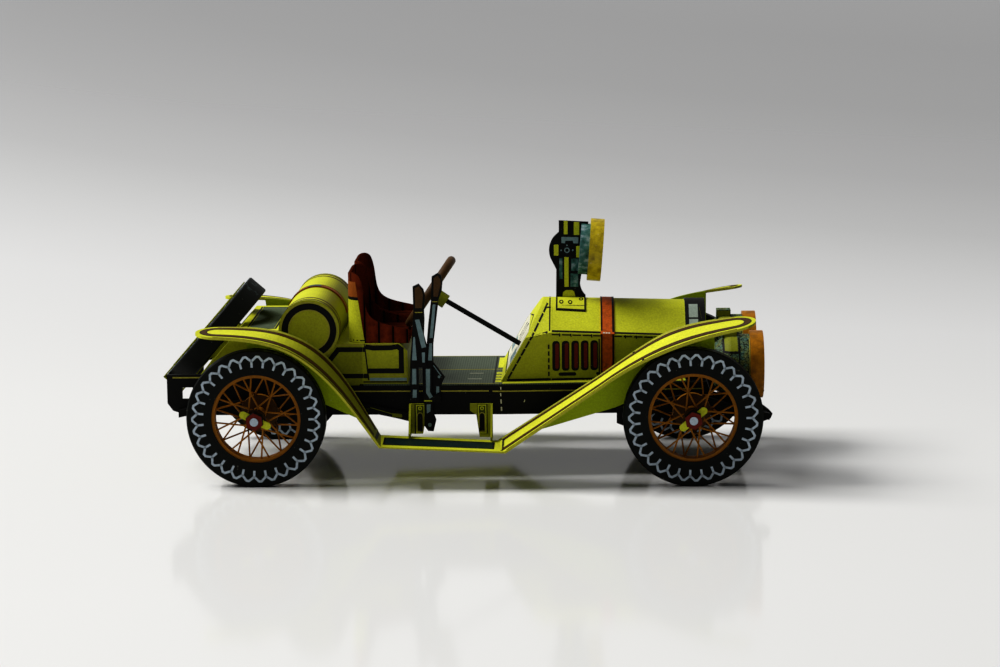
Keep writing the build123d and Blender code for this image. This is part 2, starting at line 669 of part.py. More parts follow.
# ---- Search lamp on the hood --------------------------------------------------------------------
FLANGE_X = 20.5
FLANGE_LENGTH = 7.7
FLANGE_HALF = 8.0
POST_HALF = 0.35
POST_FOOT = [(28.2, 41.5), (20.5, 41.5)]
with BuildPart() as search_lamp_bracket:
    for x in (FLANGE_X, FLANGE_X + FLANGE_LENGTH):
        left, crown, right = bonnet_edges(*hood_size(x), STRAP_THICKNESS)
        with BuildSketch(across(x)):
            with BuildLine():
                Polyline(*left)
                ThreePointArc(left[-1], crown, right[0])
                Polyline(*right)
                Line(right[-1], left[0])
            make_face()
    loft(ruled=True)
    with BuildSketch(across(FLANGE_X)):
        with Locations((0, HOOD_BACK_CROWN)):
            Rectangle(2 * FLANGE_HALF, 10)
    extrude(amount=FLANGE_LENGTH, mode=Mode.INTERSECT)
    with BuildSketch(side(POST_HALF)):
        with BuildLine():
            Polyline(POST_FOOT[1], (20.6, 50.9), (19.1, 53.9))
            ThreePointArc((19.1, 53.9), (18.8, 56.7), (20.0, 59.5))
            Polyline((20.0, 59.5), (21.3, 60.7), (21.3, 63.7), (29.0, 63.3), (27.1, 49.4), (26.8, 47.4))
            ThreePointArc((26.8, 47.4), (27.2, 45.5), (28.2, 44.1))
            Polyline((28.2, 44.1), *POST_FOOT)
        make_face()
    extrude(amount=2 * POST_HALF)
    add(hood.part, mode=Mode.SUBTRACT)

search_plane = Plane(
    origin=(MIDDLE + SEARCH_X, 0, SEARCH_Z),
    x_dir=(0, 1, 0),
    z_dir=(math.cos(math.radians(SEARCH_TILT)), 0, -math.sin(math.radians(SEARCH_TILT))),
)
SEARCH_DRUM_RADIUS = 6.6
SEARCH_DRUM = 2.4
LENS_RECESS = 0.8
LENS_LIP = 0.9
with BuildPart() as search_lamp_rim:
    with BuildSketch(search_plane):
        Circle(SEARCH_RADIUS)
    extrude(amount=SEARCH_RIM)
    with BuildSketch(search_plane.offset(SEARCH_RIM)):
        Circle(SEARCH_RADIUS - LENS_LIP)
    extrude(amount=-LENS_RECESS, mode=Mode.SUBTRACT)
keep(search_lamp_rim.part, "search_lamp_rim")

with BuildPart() as search_lamp_body:
    with BuildSketch(search_plane):
        Circle(SEARCH_DRUM_RADIUS)
    extrude(amount=-SEARCH_DRUM)
keep(search_lamp_body.part, "search_lamp_body")

with BuildPart() as fitted_bracket:
    add(search_lamp_bracket.part)
    with BuildSketch(search_plane):
        Circle(SEARCH_RADIUS + CARD)
    extrude(amount=SEARCH_RIM, mode=Mode.SUBTRACT)
    add(search_lamp_body.part, mode=Mode.SUBTRACT)
keep(fitted_bracket.part, "search_lamp_bracket")

# ---- Headlamps ----------------------------------------------------------------------------------
LAMP_DRUM_RADIUS = 7.7
LAMP_BACK = RADIATOR_FRONT
CHIMNEY_X = 63.0
CHIMNEY_LENGTH = 3.7
CHIMNEY_HALF = 1.8
CHIMNEY_TOP = 37.7
BRACKET_X = 65.4
BRACKET_LENGTH = 2.4
for name, y in (("right", -HEADLAMP_Y), ("left", HEADLAMP_Y)):
    with BuildPart() as lamp:
        with BuildSketch(side(y)):
            with BuildLine():
                Polyline(
                    (LAMP_BACK, HEADLAMP_Z),
                    (LAMP_BACK, HEADLAMP_Z + 2.2),
                    (61.2, HEADLAMP_Z + 5.6),
                    (64.6, HEADLAMP_Z + LAMP_DRUM_RADIUS),
                    (HEADLAMP_RIM_BACK, HEADLAMP_Z + LAMP_DRUM_RADIUS),
                    (HEADLAMP_RIM_BACK, HEADLAMP_Z),
                    close=True,
                )
            make_face()
        revolve(axis=Axis((MIDDLE, y, HEADLAMP_Z), (1, 0, 0)))
        with BuildSketch(Plane.XY.offset(HEADLAMP_Z + LAMP_DRUM_RADIUS / 2)):
            with Locations((MIDDLE + CHIMNEY_X + CHIMNEY_LENGTH / 2, y)):
                Rectangle(CHIMNEY_LENGTH, 2 * CHIMNEY_HALF)
        extrude(amount=CHIMNEY_TOP - HEADLAMP_Z - LAMP_DRUM_RADIUS / 2)
    keep(lamp.part, f"headlamp_{name}")
    with BuildPart() as rim:
        with BuildSketch(across(HEADLAMP_RIM_BACK)):
            with Locations((y, HEADLAMP_Z)):
                Circle(HEADLAMP_RADIUS)
        extrude(amount=HEADLAMP_RIM)
        with BuildSketch(across(HEADLAMP_RIM_BACK + HEADLAMP_RIM)):
            with Locations((y, HEADLAMP_Z)):
                Circle(HEADLAMP_RADIUS - LENS_LIP)
        extrude(amount=-LENS_RECESS, mode=Mode.SUBTRACT)
    keep(rim.part, f"headlamp_rim_{name}")



def horn_top(x):
    """Height of the front horn's upper edge between its second and third corners."""
    back, front = HORN_TOP[1], HORN_TOP[2]
    return back[1] + (front[1] - back[1]) * (x - back[0]) / (front[0] - back[0])


with BuildPart() as headlamp_brackets:
    for y in (-HEADLAMP_Y, HEADLAMP_Y):
        outer = math.copysign(FRAME_FRONT_HALF, y)
        with BuildSketch(side(outer)):
            with BuildLine():
                Polyline(
                    (BRACKET_X, horn_top(BRACKET_X) + GLUE_FIT),
                    (BRACKET_X, HEADLAMP_Z - 3),
                    (BRACKET_X + BRACKET_LENGTH, HEADLAMP_Z - 3),
                    (BRACKET_X + BRACKET_LENGTH, horn_top(BRACKET_X + BRACKET_LENGTH) + GLUE_FIT),
                    close=True,
                )
            make_face()
        extrude(amount=math.copysign(RAIL, y))
    with BuildSketch(across(BRACKET_X)):
        for y in (-HEADLAMP_Y, HEADLAMP_Y):
            with Locations((y, HEADLAMP_Z)):
                Circle(LAMP_DRUM_RADIUS + GLUE_FIT)
    extrude(amount=BRACKET_LENGTH, mode=Mode.SUBTRACT)
keep(headlamp_brackets.part, "headlamp_brackets")

# ---- Seats --------------------------------------------------------------------------------------
SEAT_BACK_X = -32.4
SEAT_FRONT_X = -16.8
SEAT_TOP = 52.9
SEAT_SHOULDER = (SEAT_BACK_X - 1, 50.8)
SEAT_ARM = [(-29.2, 51.8), (-28.1, 47.0), (-26.6, 41.8), (-22.1, 39.6), (SEAT_FRONT_X, 38.4)]
SEAT_CORNER = 4.0
SEAT_PAN = 0.9
for name, y in (("driver", -SEAT_Y), ("passenger", SEAT_Y)):
    with BuildPart() as seat:
        with BuildSketch(side(y + SEAT_HALF + 1)):
            with BuildLine():
                Polyline((SEAT_FRONT_X, SEAT_BOX_TOP), (SEAT_SHOULDER[0], SEAT_BOX_TOP), SEAT_SHOULDER)
                ThreePointArc(SEAT_SHOULDER, (-31.2, SEAT_TOP), SEAT_ARM[0])
                Spline(*SEAT_ARM)
                Line(SEAT_ARM[-1], (SEAT_FRONT_X, SEAT_BOX_TOP))
            make_face()
        extrude(amount=2 * SEAT_HALF + 2)
        for inset, base, mode in (
            (0.0, SEAT_BOX_TOP - 1, Mode.INTERSECT),
            (SEAT_WALL, SEAT_BOX_TOP + SEAT_PAN, Mode.SUBTRACT),
        ):
            reach = SEAT_FRONT_X - SEAT_BACK_X + 10
            with BuildSketch(Plane.XY.offset(base)):
                with Locations((MIDDLE + SEAT_BACK_X + inset + reach / 2, y)):
                    RectangleRounded(reach, 2 * (SEAT_HALF - inset), SEAT_CORNER - inset)
            extrude(amount=30, mode=mode)
    keep(seat.part, f"{name}_seat")
    with BuildPart() as cushion:
        fit = SEAT_WALL + 0.2
        reach = SEAT_FRONT_X - SEAT_BACK_X - fit
        with BuildSketch(Plane.XY.offset(SEAT_BOX_TOP + SEAT_PAN)):
            with Locations((MIDDLE + SEAT_BACK_X + fit + reach / 2, y)):
                RectangleRounded(reach, 2 * (SEAT_HALF - fit), SEAT_CORNER - fit)
        extrude(amount=CUSHION_HEIGHT)
    keep(cushion.part, f"{name}_cushion")

# ---- Steering -----------------------------------------------------------------------------------
rake = math.radians(COLUMN_RAKE)
UP_COLUMN = Vector(-math.cos(rake), 0, math.sin(rake))
column_foot = Vector(MIDDLE + COLUMN_FOOT[0], COLUMN_Y, COLUMN_FOOT[1])
column_plane = Plane(origin=column_foot - UP_COLUMN * 3, x_dir=(0, 1, 0), z_dir=UP_COLUMN)
wheel_rake = math.radians(STEERING_RAKE)
wheel_turn = math.radians(STEERING_TURN)
UP_WHEEL = Vector(
    -math.cos(wheel_rake) * math.cos(wheel_turn), math.sin(wheel_turn), math.sin(wheel_rake) * math.cos(wheel_turn)
)
wheel_plane = Plane(origin=column_foot + UP_COLUMN * COLUMN_LENGTH, z_dir=UP_WHEEL)
with BuildPart() as steering_column:
    with BuildSketch(column_plane):
        Circle(COLUMN_RADIUS)
    extrude(amount=COLUMN_LENGTH + 3)
    split(bisect_by=dash_plane.offset(-CARD - GLUE_FIT), keep=Keep.BOTTOM)
keep(steering_column.part, "steering_column")

STEERING_HUB_RADIUS = 1.85
STEERING_HUB = 4.8
STEERING_SPOKE = 0.9
rim_plane = Plane(origin=wheel_plane.origin, x_dir=wheel_plane.x_dir, z_dir=wheel_plane.y_dir)
with BuildPart() as steering_wheel:
    with BuildSketch(rim_plane):
        with Locations((STEERING_RADIUS, 0)):
            Circle(STEERING_TUBE)
    revolve(axis=Axis(wheel_plane.origin, wheel_plane.z_dir))
    with BuildSketch(wheel_plane.offset(-STEERING_SPOKE / 2)):
        Rectangle(2 * STEERING_RADIUS, STEERING_SPOKE * 1.6)
        Rectangle(STEERING_SPOKE * 1.6, 2 * STEERING_RADIUS)
    extrude(amount=STEERING_SPOKE)
    with BuildSketch(wheel_plane.offset(STEERING_SPOKE)):
        Circle(STEERING_HUB_RADIUS)
    extrude(amount=-STEERING_HUB - STEERING_SPOKE)
    with BuildSketch(Plane(origin=wheel_plane.origin, z_dir=UP_COLUMN)):
        Circle(COLUMN_RADIUS + GLUE_FIT)
    extrude(amount=-STEERING_HUB - 2 * STEERING_SPOKE, mode=Mode.SUBTRACT)
keep(steering_wheel.part, "steering_wheel")

# ---- Wings: one folded strip a side, with upright valances along its inner edge -----------------
REAR_OUTER = [(-69.9, 39.3), (-58.0, 38.7), (-46.5, 35.8), (-38.5, 30.3), (-31.5, 22.6), (-23.3, 11.2)]
REAR_INNER = [(-69.9, 40.0), (-58.5, 39.9), (-47.7, 38.3), (-39.6, 34.0), (-32.0, 25.2), (-24.1, 11.9)]
FRONT_OUTER = [(7.6, 9.9), (31.5, 26.2), (42.4, 32.9), (57.0, 38.6), (70.6, 41.6)]
FRONT_INNER = [(5.7, 10.4), (31.6, 27.2), (42.7, 34.9), (50.0, 38.8), (59.0, 41.1), (70.6, 42.7)]
WING_LENGTH = FRONT_OUTER[-1][0] - REAR_OUTER[0][0]
WING_WIDTH = WING_OUTER - WING_INNER
WING_MIDDLE = (MIDDLE + (FRONT_OUTER[-1][0] + REAR_OUTER[0][0]) / 2, (WING_OUTER + WING_INNER) / 2)
for name, sign in (("right", -1), ("left", 1)):
    with BuildPart() as wing:
        for y, rear, front in ((WING_OUTER, REAR_OUTER, FRONT_OUTER), (WING_INNER, REAR_INNER, FRONT_INNER)):
            rear_low = shifted(rear, -WING_CARD)
            front_low = shifted(front, -WING_CARD)
            with BuildSketch(side(sign * y)):
                with BuildLine():
                    Spline(*rear)
                    Line(rear[-1], front[0])
                    Line(front[0], front[1])
                    Spline(*front[1:])
                    Line(front[-1], front_low[-1])
                    Spline(*front_low[1:])
                    Line(front_low[0], front_low[1])
                    Line(rear_low[-1], front_low[0])
                    Spline(*rear_low)
                    Line(rear_low[0], rear[0])
                make_face()
        loft(ruled=True)
        with BuildSketch(Plane.XY):
            with Locations((WING_MIDDLE[0], sign * WING_MIDDLE[1])):
                RectangleRounded(WING_LENGTH, WING_WIDTH, WING_WIDTH / 2 - 0.01)
        extrude(amount=2 * FRONT_OUTER[-1][1], mode=Mode.INTERSECT)
    keep(wing.part, f"wing_{name}")

APRON_TOP = 50.0  # above the wings, which trim the valances
APRON_LOW = 8.0
FRONT_APRON = [
    (4.0, APRON_LOW), (8.0, 10.8), (19.3, 14.0), (35.6, 18.9), (44.0, 22.5), (50.0, 27.5),
    (60.6, 30.0), (60.6, APRON_TOP), (4.0, APRON_TOP),
]
REAR_APRON = [
    (-24.1, APRON_LOW), (-24.1, 12.5), (-29.0, 15.8), (-38.0, 19.8), (-44.0, 23.5), (-50.0, 27.5),
    (-57.0, 31.0), (-60.0, APRON_TOP), (-20.0, APRON_TOP),
]
for name, sign in (("right", -1), ("left", 1)):
    with BuildPart() as front_valance:
        with BuildSketch(side(sign * WING_INNER)):
            with BuildLine():
                Line(FRONT_INNER[0], FRONT_INNER[1])
                Spline(*FRONT_INNER[1:])
                Polyline(
                    FRONT_INNER[-1],
                    (FRONT_INNER[-1][0], APRON_LOW),
                    (FRONT_INNER[0][0], APRON_LOW),
                    FRONT_INNER[0],
                )
            make_face()
            with BuildLine():
                Polyline(*FRONT_APRON, close=True)
            make_face(mode=Mode.INTERSECT)
        extrude(amount=sign * VALANCE)
    keep(front_valance.part, f"front_valance_{name}")
    with BuildPart() as rear_valance:
        with BuildSketch(side(sign * WING_INNER)):
            with BuildLine():
                Spline(*REAR_INNER)
                Polyline(
                    REAR_INNER[-1],
                    (REAR_INNER[-1][0], APRON_LOW),
                    (REAR_INNER[0][0], APRON_LOW),
                    REAR_INNER[0],
                )
            make_face()
            with BuildLine():
                Polyline(*REAR_APRON, close=True)
            make_face(mode=Mode.INTERSECT)
        extrude(amount=sign * VALANCE)
    keep(rear_valance.part, f"rear_valance_{name}")

# ---- Running board hangers ----------------------------------------------------------------------
HANGER_CARD = 0.5
HANGER_TOP = 19.4
HANGER_LAP = 2.3  # how far a foot reaches over the running board
HANGER_REACH = WING_INNER + HANGER_LAP - FRAME_HALF


def board_top(x):
    """Height of the running board's inner edge at x."""
    back, front = REAR_INNER[-1], FRONT_INNER[0]
    return back[1] + (front[1] - back[1]) * (x - back[0]) / (front[0] - back[0])


with BuildPart() as running_board_hangers:
    for fold, run in HANGER_FOLDS:
        far = fold + run * HANGER_WIDTH
        ear = far + run * HANGER_EAR
        foot = board_top(min(fold, far)) + 0.03
        for sign in (-1, 1):
            with BuildSketch(side(sign * FRAME_HALF)):
                with BuildLine():
                    Polyline(
                        (ear, HANGER_TOP),
                        (fold, HANGER_TOP),
                        (fold, foot),
                        (far - run * 0.8, foot),
                        (far, FRAME_BOTTOM),
                        (ear, HANGER_TOP - 1.8),
                        close=True,
                    )
                make_face()
            extrude(amount=-sign * HANGER_CARD)
            with BuildSketch(across(fold)):
                with BuildLine():
                    Polyline(
                        (sign * FRAME_HALF, HANGER_TOP),
                        (sign * FRAME_HALF, foot),
                        (sign * (FRAME_HALF + HANGER_REACH), foot),
                        (sign * (FRAME_HALF + HANGER_REACH), foot + 1.0),
                        (sign * (FRAME_HALF + 1.2), HANGER_TOP),
                        close=True,
                    )
                make_face()
            extrude(amount=run * HANGER_CARD)
keep(running_board_hangers.part, "running_board_hangers")

# ---- Hand levers --------------------------------------------------------------------------------
QUADRANT_CARD = 0.5
LEVER_CARD = 0.8
LEVER_Y = FRAME_HALF + QUADRANT_CARD
QUADRANT_LOW = HANGER_TOP + 0.2
QUADRANT = [
    (-13.4, QUADRANT_LOW), (-13.4, 30.4), (-10.7, 30.4), (-7.7, 26.4), (-8.8, 23.9), (-8.9, QUADRANT_LOW),
]
GEAR_GRIP = [
    (-10.9, 46.6), (-10.8, 49.7), (-10.7, 52.3), (-9.2, 53.2), (-8.3, 52.6), (-8.0, 50.7), (-8.2, 48.6), (-9.0, 46.6),
]
GEAR_SHAFT = [
    (-10.9, 46.6), (-11.7, 40.4), (-12.2, 35.0), (-12.4, 30.3), (-12.9, 28.7), (-12.9, 21.7), (-13.4, 20.1),
    (-8.8, 19.9), (-8.9, 22.0), (-11.1, 21.7), (-11.0, 28.7), (-10.6, 30.3), (-10.5, 35.0), (-9.8, 40.4), (-9.0, 46.6),
]
GEAR_FOOT = [
    (-12.9, 20.2), (-13.0, 17.3), (-13.1, 13.9), (-12.1, 12.5), (-10.7, 12.4), (-10.0, 15.3), (-10.9, 17.9),
    (-10.9, 20.2),
]
BRAKE_GRIP = [(-15.5, 49.9), (-14.0, 50.6), (-12.8, 49.2), (-12.4, 47.6), (-12.7, 43.6), (-15.4, 43.6)]
BRAKE_SHAFT = [
    (-15.4, 43.6), (-16.0, 35.4), (-16.4, 30.4), (-16.5, 20.1), (-14.3, 20.1), (-14.3, 29.1), (-12.4, 29.1),
    (-12.0, 34.3), (-12.8, 37.5), (-12.6, 41.6), (-12.7, 43.6),
]
with BuildPart() as lever_quadrant:
    with BuildSketch(side(-FRAME_HALF)):
        with BuildLine():
            Polyline(*QUADRANT, close=True)
        make_face()
    extrude(amount=QUADRANT_CARD)
keep(lever_quadrant.part, "lever_quadrant")

for name, y, outlines in (
    ("gear_lever", -LEVER_Y, (GEAR_GRIP, GEAR_SHAFT, GEAR_FOOT)),
    ("brake_lever", -LEVER_Y - LEVER_CARD, (BRAKE_GRIP, BRAKE_SHAFT)),
):
    with BuildPart() as lever:
        for outline in outlines:
            with BuildSketch(side(y)):
                with BuildLine():
                    Polyline(*outline, close=True)
                make_face()
            extrude(amount=LEVER_CARD)
    keep(lever.part, name)
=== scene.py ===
"""Looks of a printed card model of an open two-seat brass era car, built round its CAD parts."""

import math

import bmesh
import bpy
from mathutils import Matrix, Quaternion, Vector
from mathutils.bvhtree import BVHTree


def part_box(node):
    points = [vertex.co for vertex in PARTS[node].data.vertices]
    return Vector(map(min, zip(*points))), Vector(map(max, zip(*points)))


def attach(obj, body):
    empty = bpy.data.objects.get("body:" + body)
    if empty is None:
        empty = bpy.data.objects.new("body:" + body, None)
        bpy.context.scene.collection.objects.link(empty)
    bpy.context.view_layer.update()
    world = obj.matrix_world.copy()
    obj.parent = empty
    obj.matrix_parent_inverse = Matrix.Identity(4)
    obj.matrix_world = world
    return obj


bl_info = {
    "name": "Printed card car",
    "version": (1, 0, 0),
    "blender": (4, 5, 0),
    "location": "3D View > Sidebar > Card car",
    "description": "Card, inks and stage for a printed card model of a brass era car",
    "category": "Object",
}

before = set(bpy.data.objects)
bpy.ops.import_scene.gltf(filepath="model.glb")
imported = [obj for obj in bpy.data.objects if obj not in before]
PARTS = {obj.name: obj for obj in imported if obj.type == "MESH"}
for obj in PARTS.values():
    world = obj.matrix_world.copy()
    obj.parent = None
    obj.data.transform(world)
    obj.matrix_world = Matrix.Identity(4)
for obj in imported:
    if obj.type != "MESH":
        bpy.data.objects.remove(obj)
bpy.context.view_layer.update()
MM = 0.001
SIDES = {"right": -1, "left": 1}
CORNERS = ("front_right", "rear_right", "front_left", "rear_left")


def middle_of(node):
    """Middle of a part's box, in metres."""
    low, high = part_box(node)
    return (low + high) / 2


MID_X = (middle_of("tyre_front_right").x + middle_of("tyre_rear_right").x) / 2


def ink_value(red, green, blue):
    """Linear colour of an ink given as the usual 0 to 255 values."""
    return tuple(((c / 255 + 0.055) / 1.055) ** 2.4 if c > 10 else c / 255 / 12.92 for c in (red, green, blue))


# ---- Sizes and colours that a user would change ---------------------------------------------------
def length(name, description, default):
    """A length in metres for the sidebar."""
    return bpy.props.FloatProperty(name=name, description=description, default=default, unit="LENGTH", precision=5)


def colour(name, description, *value):
    """An ink or card colour for the sidebar."""
    return bpy.props.FloatVectorProperty(
        name=name, description=description, default=ink_value(*value), subtype="COLOR", min=0, max=1
    )


class CardSizes(bpy.types.PropertyGroup):
    """Sizes of the printing on the card."""

    film: length("Ink film", "How far a printed shape stands on the card", 0.00004)
    pinstripe: length("Pinstripe", "Width of the brown stripes on the wings", 0.0015)
    outline: length("Outline", "Width of the black outlines", 0.00045)
    tread_line: length("Tread line", "Width of the pale lines on the tyres", 0.00056)
    lugs: bpy.props.IntProperty(name="Lugs", description="Lugs printed round a tyre", default=31, min=3)
    louvres: bpy.props.IntProperty(name="Louvres", description="Louvres on each side of the hood", default=5, min=1)
    louvre_pitch: length("Louvre pitch", "From one louvre to the next", 0.00244)


class CardColours(bpy.types.PropertyGroup):
    """Inks and card colours."""

    body: colour("Body", "Yellow-green card of the body, hood and wings", 196, 200, 44)
    bright: colour("Bright", "Brighter yellow between the pinstripes", 210, 213, 52)
    black: colour("Black", "Black ink and the frame's card", 9, 9, 7)
    brown: colour("Pinstripe", "Brown ink of the pinstripes", 62, 40, 8)
    gold: colour("Gold", "Thin gold lines on the frame and floor", 160, 152, 60)
    paper: colour("Paper", "White card where an edge is bare", 214, 212, 190)
    floor: colour("Floor", "Grey of the floor", 82, 92, 76)
    leather: colour("Leather", "Dark red of the seats", 124, 50, 26)
    rust: colour("Rust", "Orange-brown edge of the seat backs", 140, 74, 22)
    strap: colour("Strap", "Red-orange strap over the hood", 190, 86, 26)
    louvre: colour("Louvre", "Dark red inside the louvres", 96, 28, 20)
    slate: colour("Slate", "Blue-grey of levers, radiator and lamp", 118, 142, 146)
    teal: colour("Teal", "Teal of the search lamp", 58, 100, 96)
    olive: colour("Olive", "Dark green of the hangers' slots", 62, 70, 12)
    inset: colour("Running board", "Dark inset of the running boards", 22, 38, 34)
    lamp: colour("Lamp green", "Mottled green of the headlamps", 100, 108, 60)
    valance: colour("Valance", "Greener card under the wings", 158, 178, 24)
    pale: colour("Pale", "Pale grey-green of the radiator's panels", 152, 166, 152)
    panel: colour("Panel", "Olive panel on the headlamps", 120, 124, 26)
    search_rim: colour("Search lamp rim", "Yellow brass print", 188, 166, 28)
    lamp_rim: colour("Headlamp rim", "Orange brass print", 164, 104, 14)
    wheel: colour("Wheel", "Orange-brown paint of the wire wheels", 140, 88, 18)
    tyre: colour("Tyre", "Black card of the tyres", 12, 14, 11)
    tread: colour("Tread", "Pale lines on the tyres", 180, 194, 206)
    wood: colour("Handle", "Brown of the lever handles and steering wheel", 74, 52, 28)


# ---- Materials ------------------------------------------------------------------------------------
def add(tree, kind, inputs=None, **settings):
    """Add a node, set it up and fill or link its inputs."""
    node = tree.nodes.new(kind)
    for key, value in settings.items():
        setattr(node, key, value)
    for key, value in (inputs or {}).items():
        if isinstance(value, bpy.types.NodeSocket):
            tree.links.new(value, node.inputs[key])
        else:
            node.inputs[key].default_value = value
    return node


def calc(tree, operation, *values):
    """Output of a Math node."""
    return add(tree, "ShaderNodeMath", dict(enumerate(values)), operation=operation).outputs[0]


def mix(tree, factor, first, second, blend="MIX"):
    """Output of a colour Mix node."""
    node = add(tree, "ShaderNodeMix", {0: factor, 6: first, 7: second}, data_type="RGBA", blend_type=blend)
    return node.outputs[2]


def shader_group(name, inputs, outputs):
    """A new shader node group with its entry and exit nodes."""
    group = bpy.data.node_groups.new(name, "ShaderNodeTree")
    for label, kind, value in inputs:
        socket = group.interface.new_socket(name=label, in_out="INPUT", socket_type=kind)
        socket.default_value = value
    for label, kind in outputs:
        group.interface.new_socket(name=label, in_out="OUTPUT", socket_type=kind)
    return group, group.nodes.new("NodeGroupInput"), group.nodes.new("NodeGroupOutput")


FLOAT, COLOR, VECTOR = "NodeSocketFloat", "NodeSocketColor", "NodeSocketVector"
# How fine the cloudiness of the ink, its grain, the paper's fibre and the rubbed specks are.
CLOUD_SCALE, GRAIN_SCALE, FIBRE_SCALE, SPECK_SCALE = 230, 2300, 6200, 1500


def position(tree):
    """Where a point is on the model, in metres."""
    return add(tree, "ShaderNodeTexCoord").outputs["Object"]


def coordinate(tree, axis):
    """Distance along one axis of the model, in metres."""
    return add(tree, "ShaderNodeSeparateXYZ", {0: position(tree)}).outputs[axis]


def heading(tree, axis):
    """How far a face looks along an axis, from -1 to 1."""
    normal = add(tree, "ShaderNodeNewGeometry").outputs["True Normal"]
    return add(tree, "ShaderNodeSeparateXYZ", {0: normal}).outputs[axis]


def facing(tree, axis):
    """How squarely a face looks along an axis either way, from 0 to 1."""
    return calc(tree, "ABSOLUTE", heading(tree, axis))


def above(tree, value, limit):
    """1 where a value is over a limit."""
    return calc(tree, "GREATER_THAN", value, limit)


def noise(tree, scale, detail):
    """Mottling that stays with the model."""
    return add(tree, "ShaderNodeTexNoise", {"Vector": position(tree), "Scale": scale, "Detail": detail}).outputs["Fac"]


def slide(tree, value, low, high, bottom=0.0, top=1.0):
    """A value that goes from bottom to top between two limits."""
    return add(tree, "ShaderNodeMapRange", dict(enumerate((value, low, high, bottom, top)))).outputs[0]


def centred(tree, value, amount, start):
    """A start moved up and down by how far a value is from a half."""
    return calc(tree, "MULTIPLY_ADD", calc(tree, "SUBTRACT", value, 0.5), amount, start)


def scaled(tree, colour_in, amount):
    """A colour made brighter or darker."""
    return add(tree, "ShaderNodeVectorMath", {0: colour_in, "Scale": amount}, operation="SCALE").outputs[0]


def build_card_group():
    """Printed card: ink that lies unevenly on paper fibre, with bare specks where it has rubbed off."""
    group, entry, result = shader_group(
        "printed_card",
        (
            ("Ink", COLOR, (0.5, 0.5, 0.1, 1)),
            ("Paper", COLOR, ink_value(214, 212, 190) + (1,)),
            ("Mottle", FLOAT, 0.12),
            ("Rub", FLOAT, 0.3),
            ("Roughness", FLOAT, 0.5),
            ("Height", FLOAT, 0.0),
        ),
        (("Color", COLOR), ("Roughness", FLOAT), ("Normal", VECTOR)),
    )
    ink = entry.outputs
    cloud, grain = noise(group, CLOUD_SCALE, 3), noise(group, GRAIN_SCALE, 2)
    fibre, patch = noise(group, FIBRE_SCALE, 2), noise(group, SPECK_SCALE, 5)
    uneven = centred(group, grain, 0.7, centred(group, cloud, ink["Mottle"], 1.0))
    rubbed = calc(group, "MULTIPLY", slide(group, patch, 0.70, 0.75), ink["Rub"])
    bare = mix(group, rubbed, scaled(group, ink["Ink"], uneven), ink["Paper"])
    group.links.new(bare, result.inputs["Color"])
    rough = centred(group, grain, 0.3, ink["Roughness"])
    group.links.new(calc(group, "MULTIPLY_ADD", rubbed, 0.2, rough), result.inputs["Roughness"])
    tooth = calc(group, "MULTIPLY_ADD", fibre, 0.4, calc(group, "MULTIPLY", grain, 0.6))
    bump = add(group, "ShaderNodeBump", {"Height": ink["Height"], "Strength": 1.0, "Distance": 0.0003}).outputs[0]
    fine = {"Height": tooth, "Strength": 0.22, "Distance": 0.00005, "Normal": bump}
    group.links.new(add(group, "ShaderNodeBump", fine).outputs[0], result.inputs["Normal"])
    return group


def build_rule_group():
    """Ruled lines across one coordinate: 1 in a line, 0 between, broken a little by the press."""
    group, entry, result = shader_group(
        "ruled_lines",
        (("Along", FLOAT, 0.0), ("Pitch", FLOAT, 0.5), ("Line", FLOAT, 0.3), ("Break", FLOAT, 0.2)),
        (("Mask", FLOAT),),
    )
    ruled = entry.outputs
    turn = calc(group, "FRACT", calc(group, "DIVIDE", ruled["Along"], ruled["Pitch"]))
    off = calc(group, "ABSOLUTE", calc(group, "SUBTRACT", turn, 0.5))
    half = calc(group, "MULTIPLY", ruled["Line"], 0.5)
    worn = centred(group, noise(group, 900, 2), ruled["Break"], half)
    group.links.new(calc(group, "LESS_THAN", off, worn), result.inputs["Mask"])
    return group


def build_pleat_group():
    """Pleats of printed leather: seams run up the panels, with a swell between them."""
    group, entry, result = shader_group(
        "pleats",
        (("Pitch", FLOAT, 0.0038), ("Seam", FLOAT, 0.1)),
        (("Seam", FLOAT), ("Swell", FLOAT)),
    )
    side = above(group, facing(group, 1), 0.6)
    x_part = calc(group, "MULTIPLY", coordinate(group, 0), side)
    y_part = calc(group, "MULTIPLY", coordinate(group, 1), calc(group, "SUBTRACT", 1.0, side))
    turn = calc(group, "FRACT", calc(group, "DIVIDE", calc(group, "ADD", x_part, y_part), entry.outputs["Pitch"]))
    off = calc(group, "MULTIPLY", calc(group, "ABSOLUTE", calc(group, "SUBTRACT", turn, 0.5)), 2)
    edge = calc(group, "SUBTRACT", 1.0, entry.outputs["Seam"])
    group.links.new(above(group, off, edge), result.inputs["Seam"])
    group.links.new(calc(group, "SUBTRACT", 1.0, calc(group, "POWER", off, 3.0)), result.inputs["Swell"])
    return group


# Heights between which the sides get painted shade, and where that painted shade ends behind.
SHADE_FOOT, SHADE_TOP, SHADE_REAR = 0.024, 0.038, -0.029


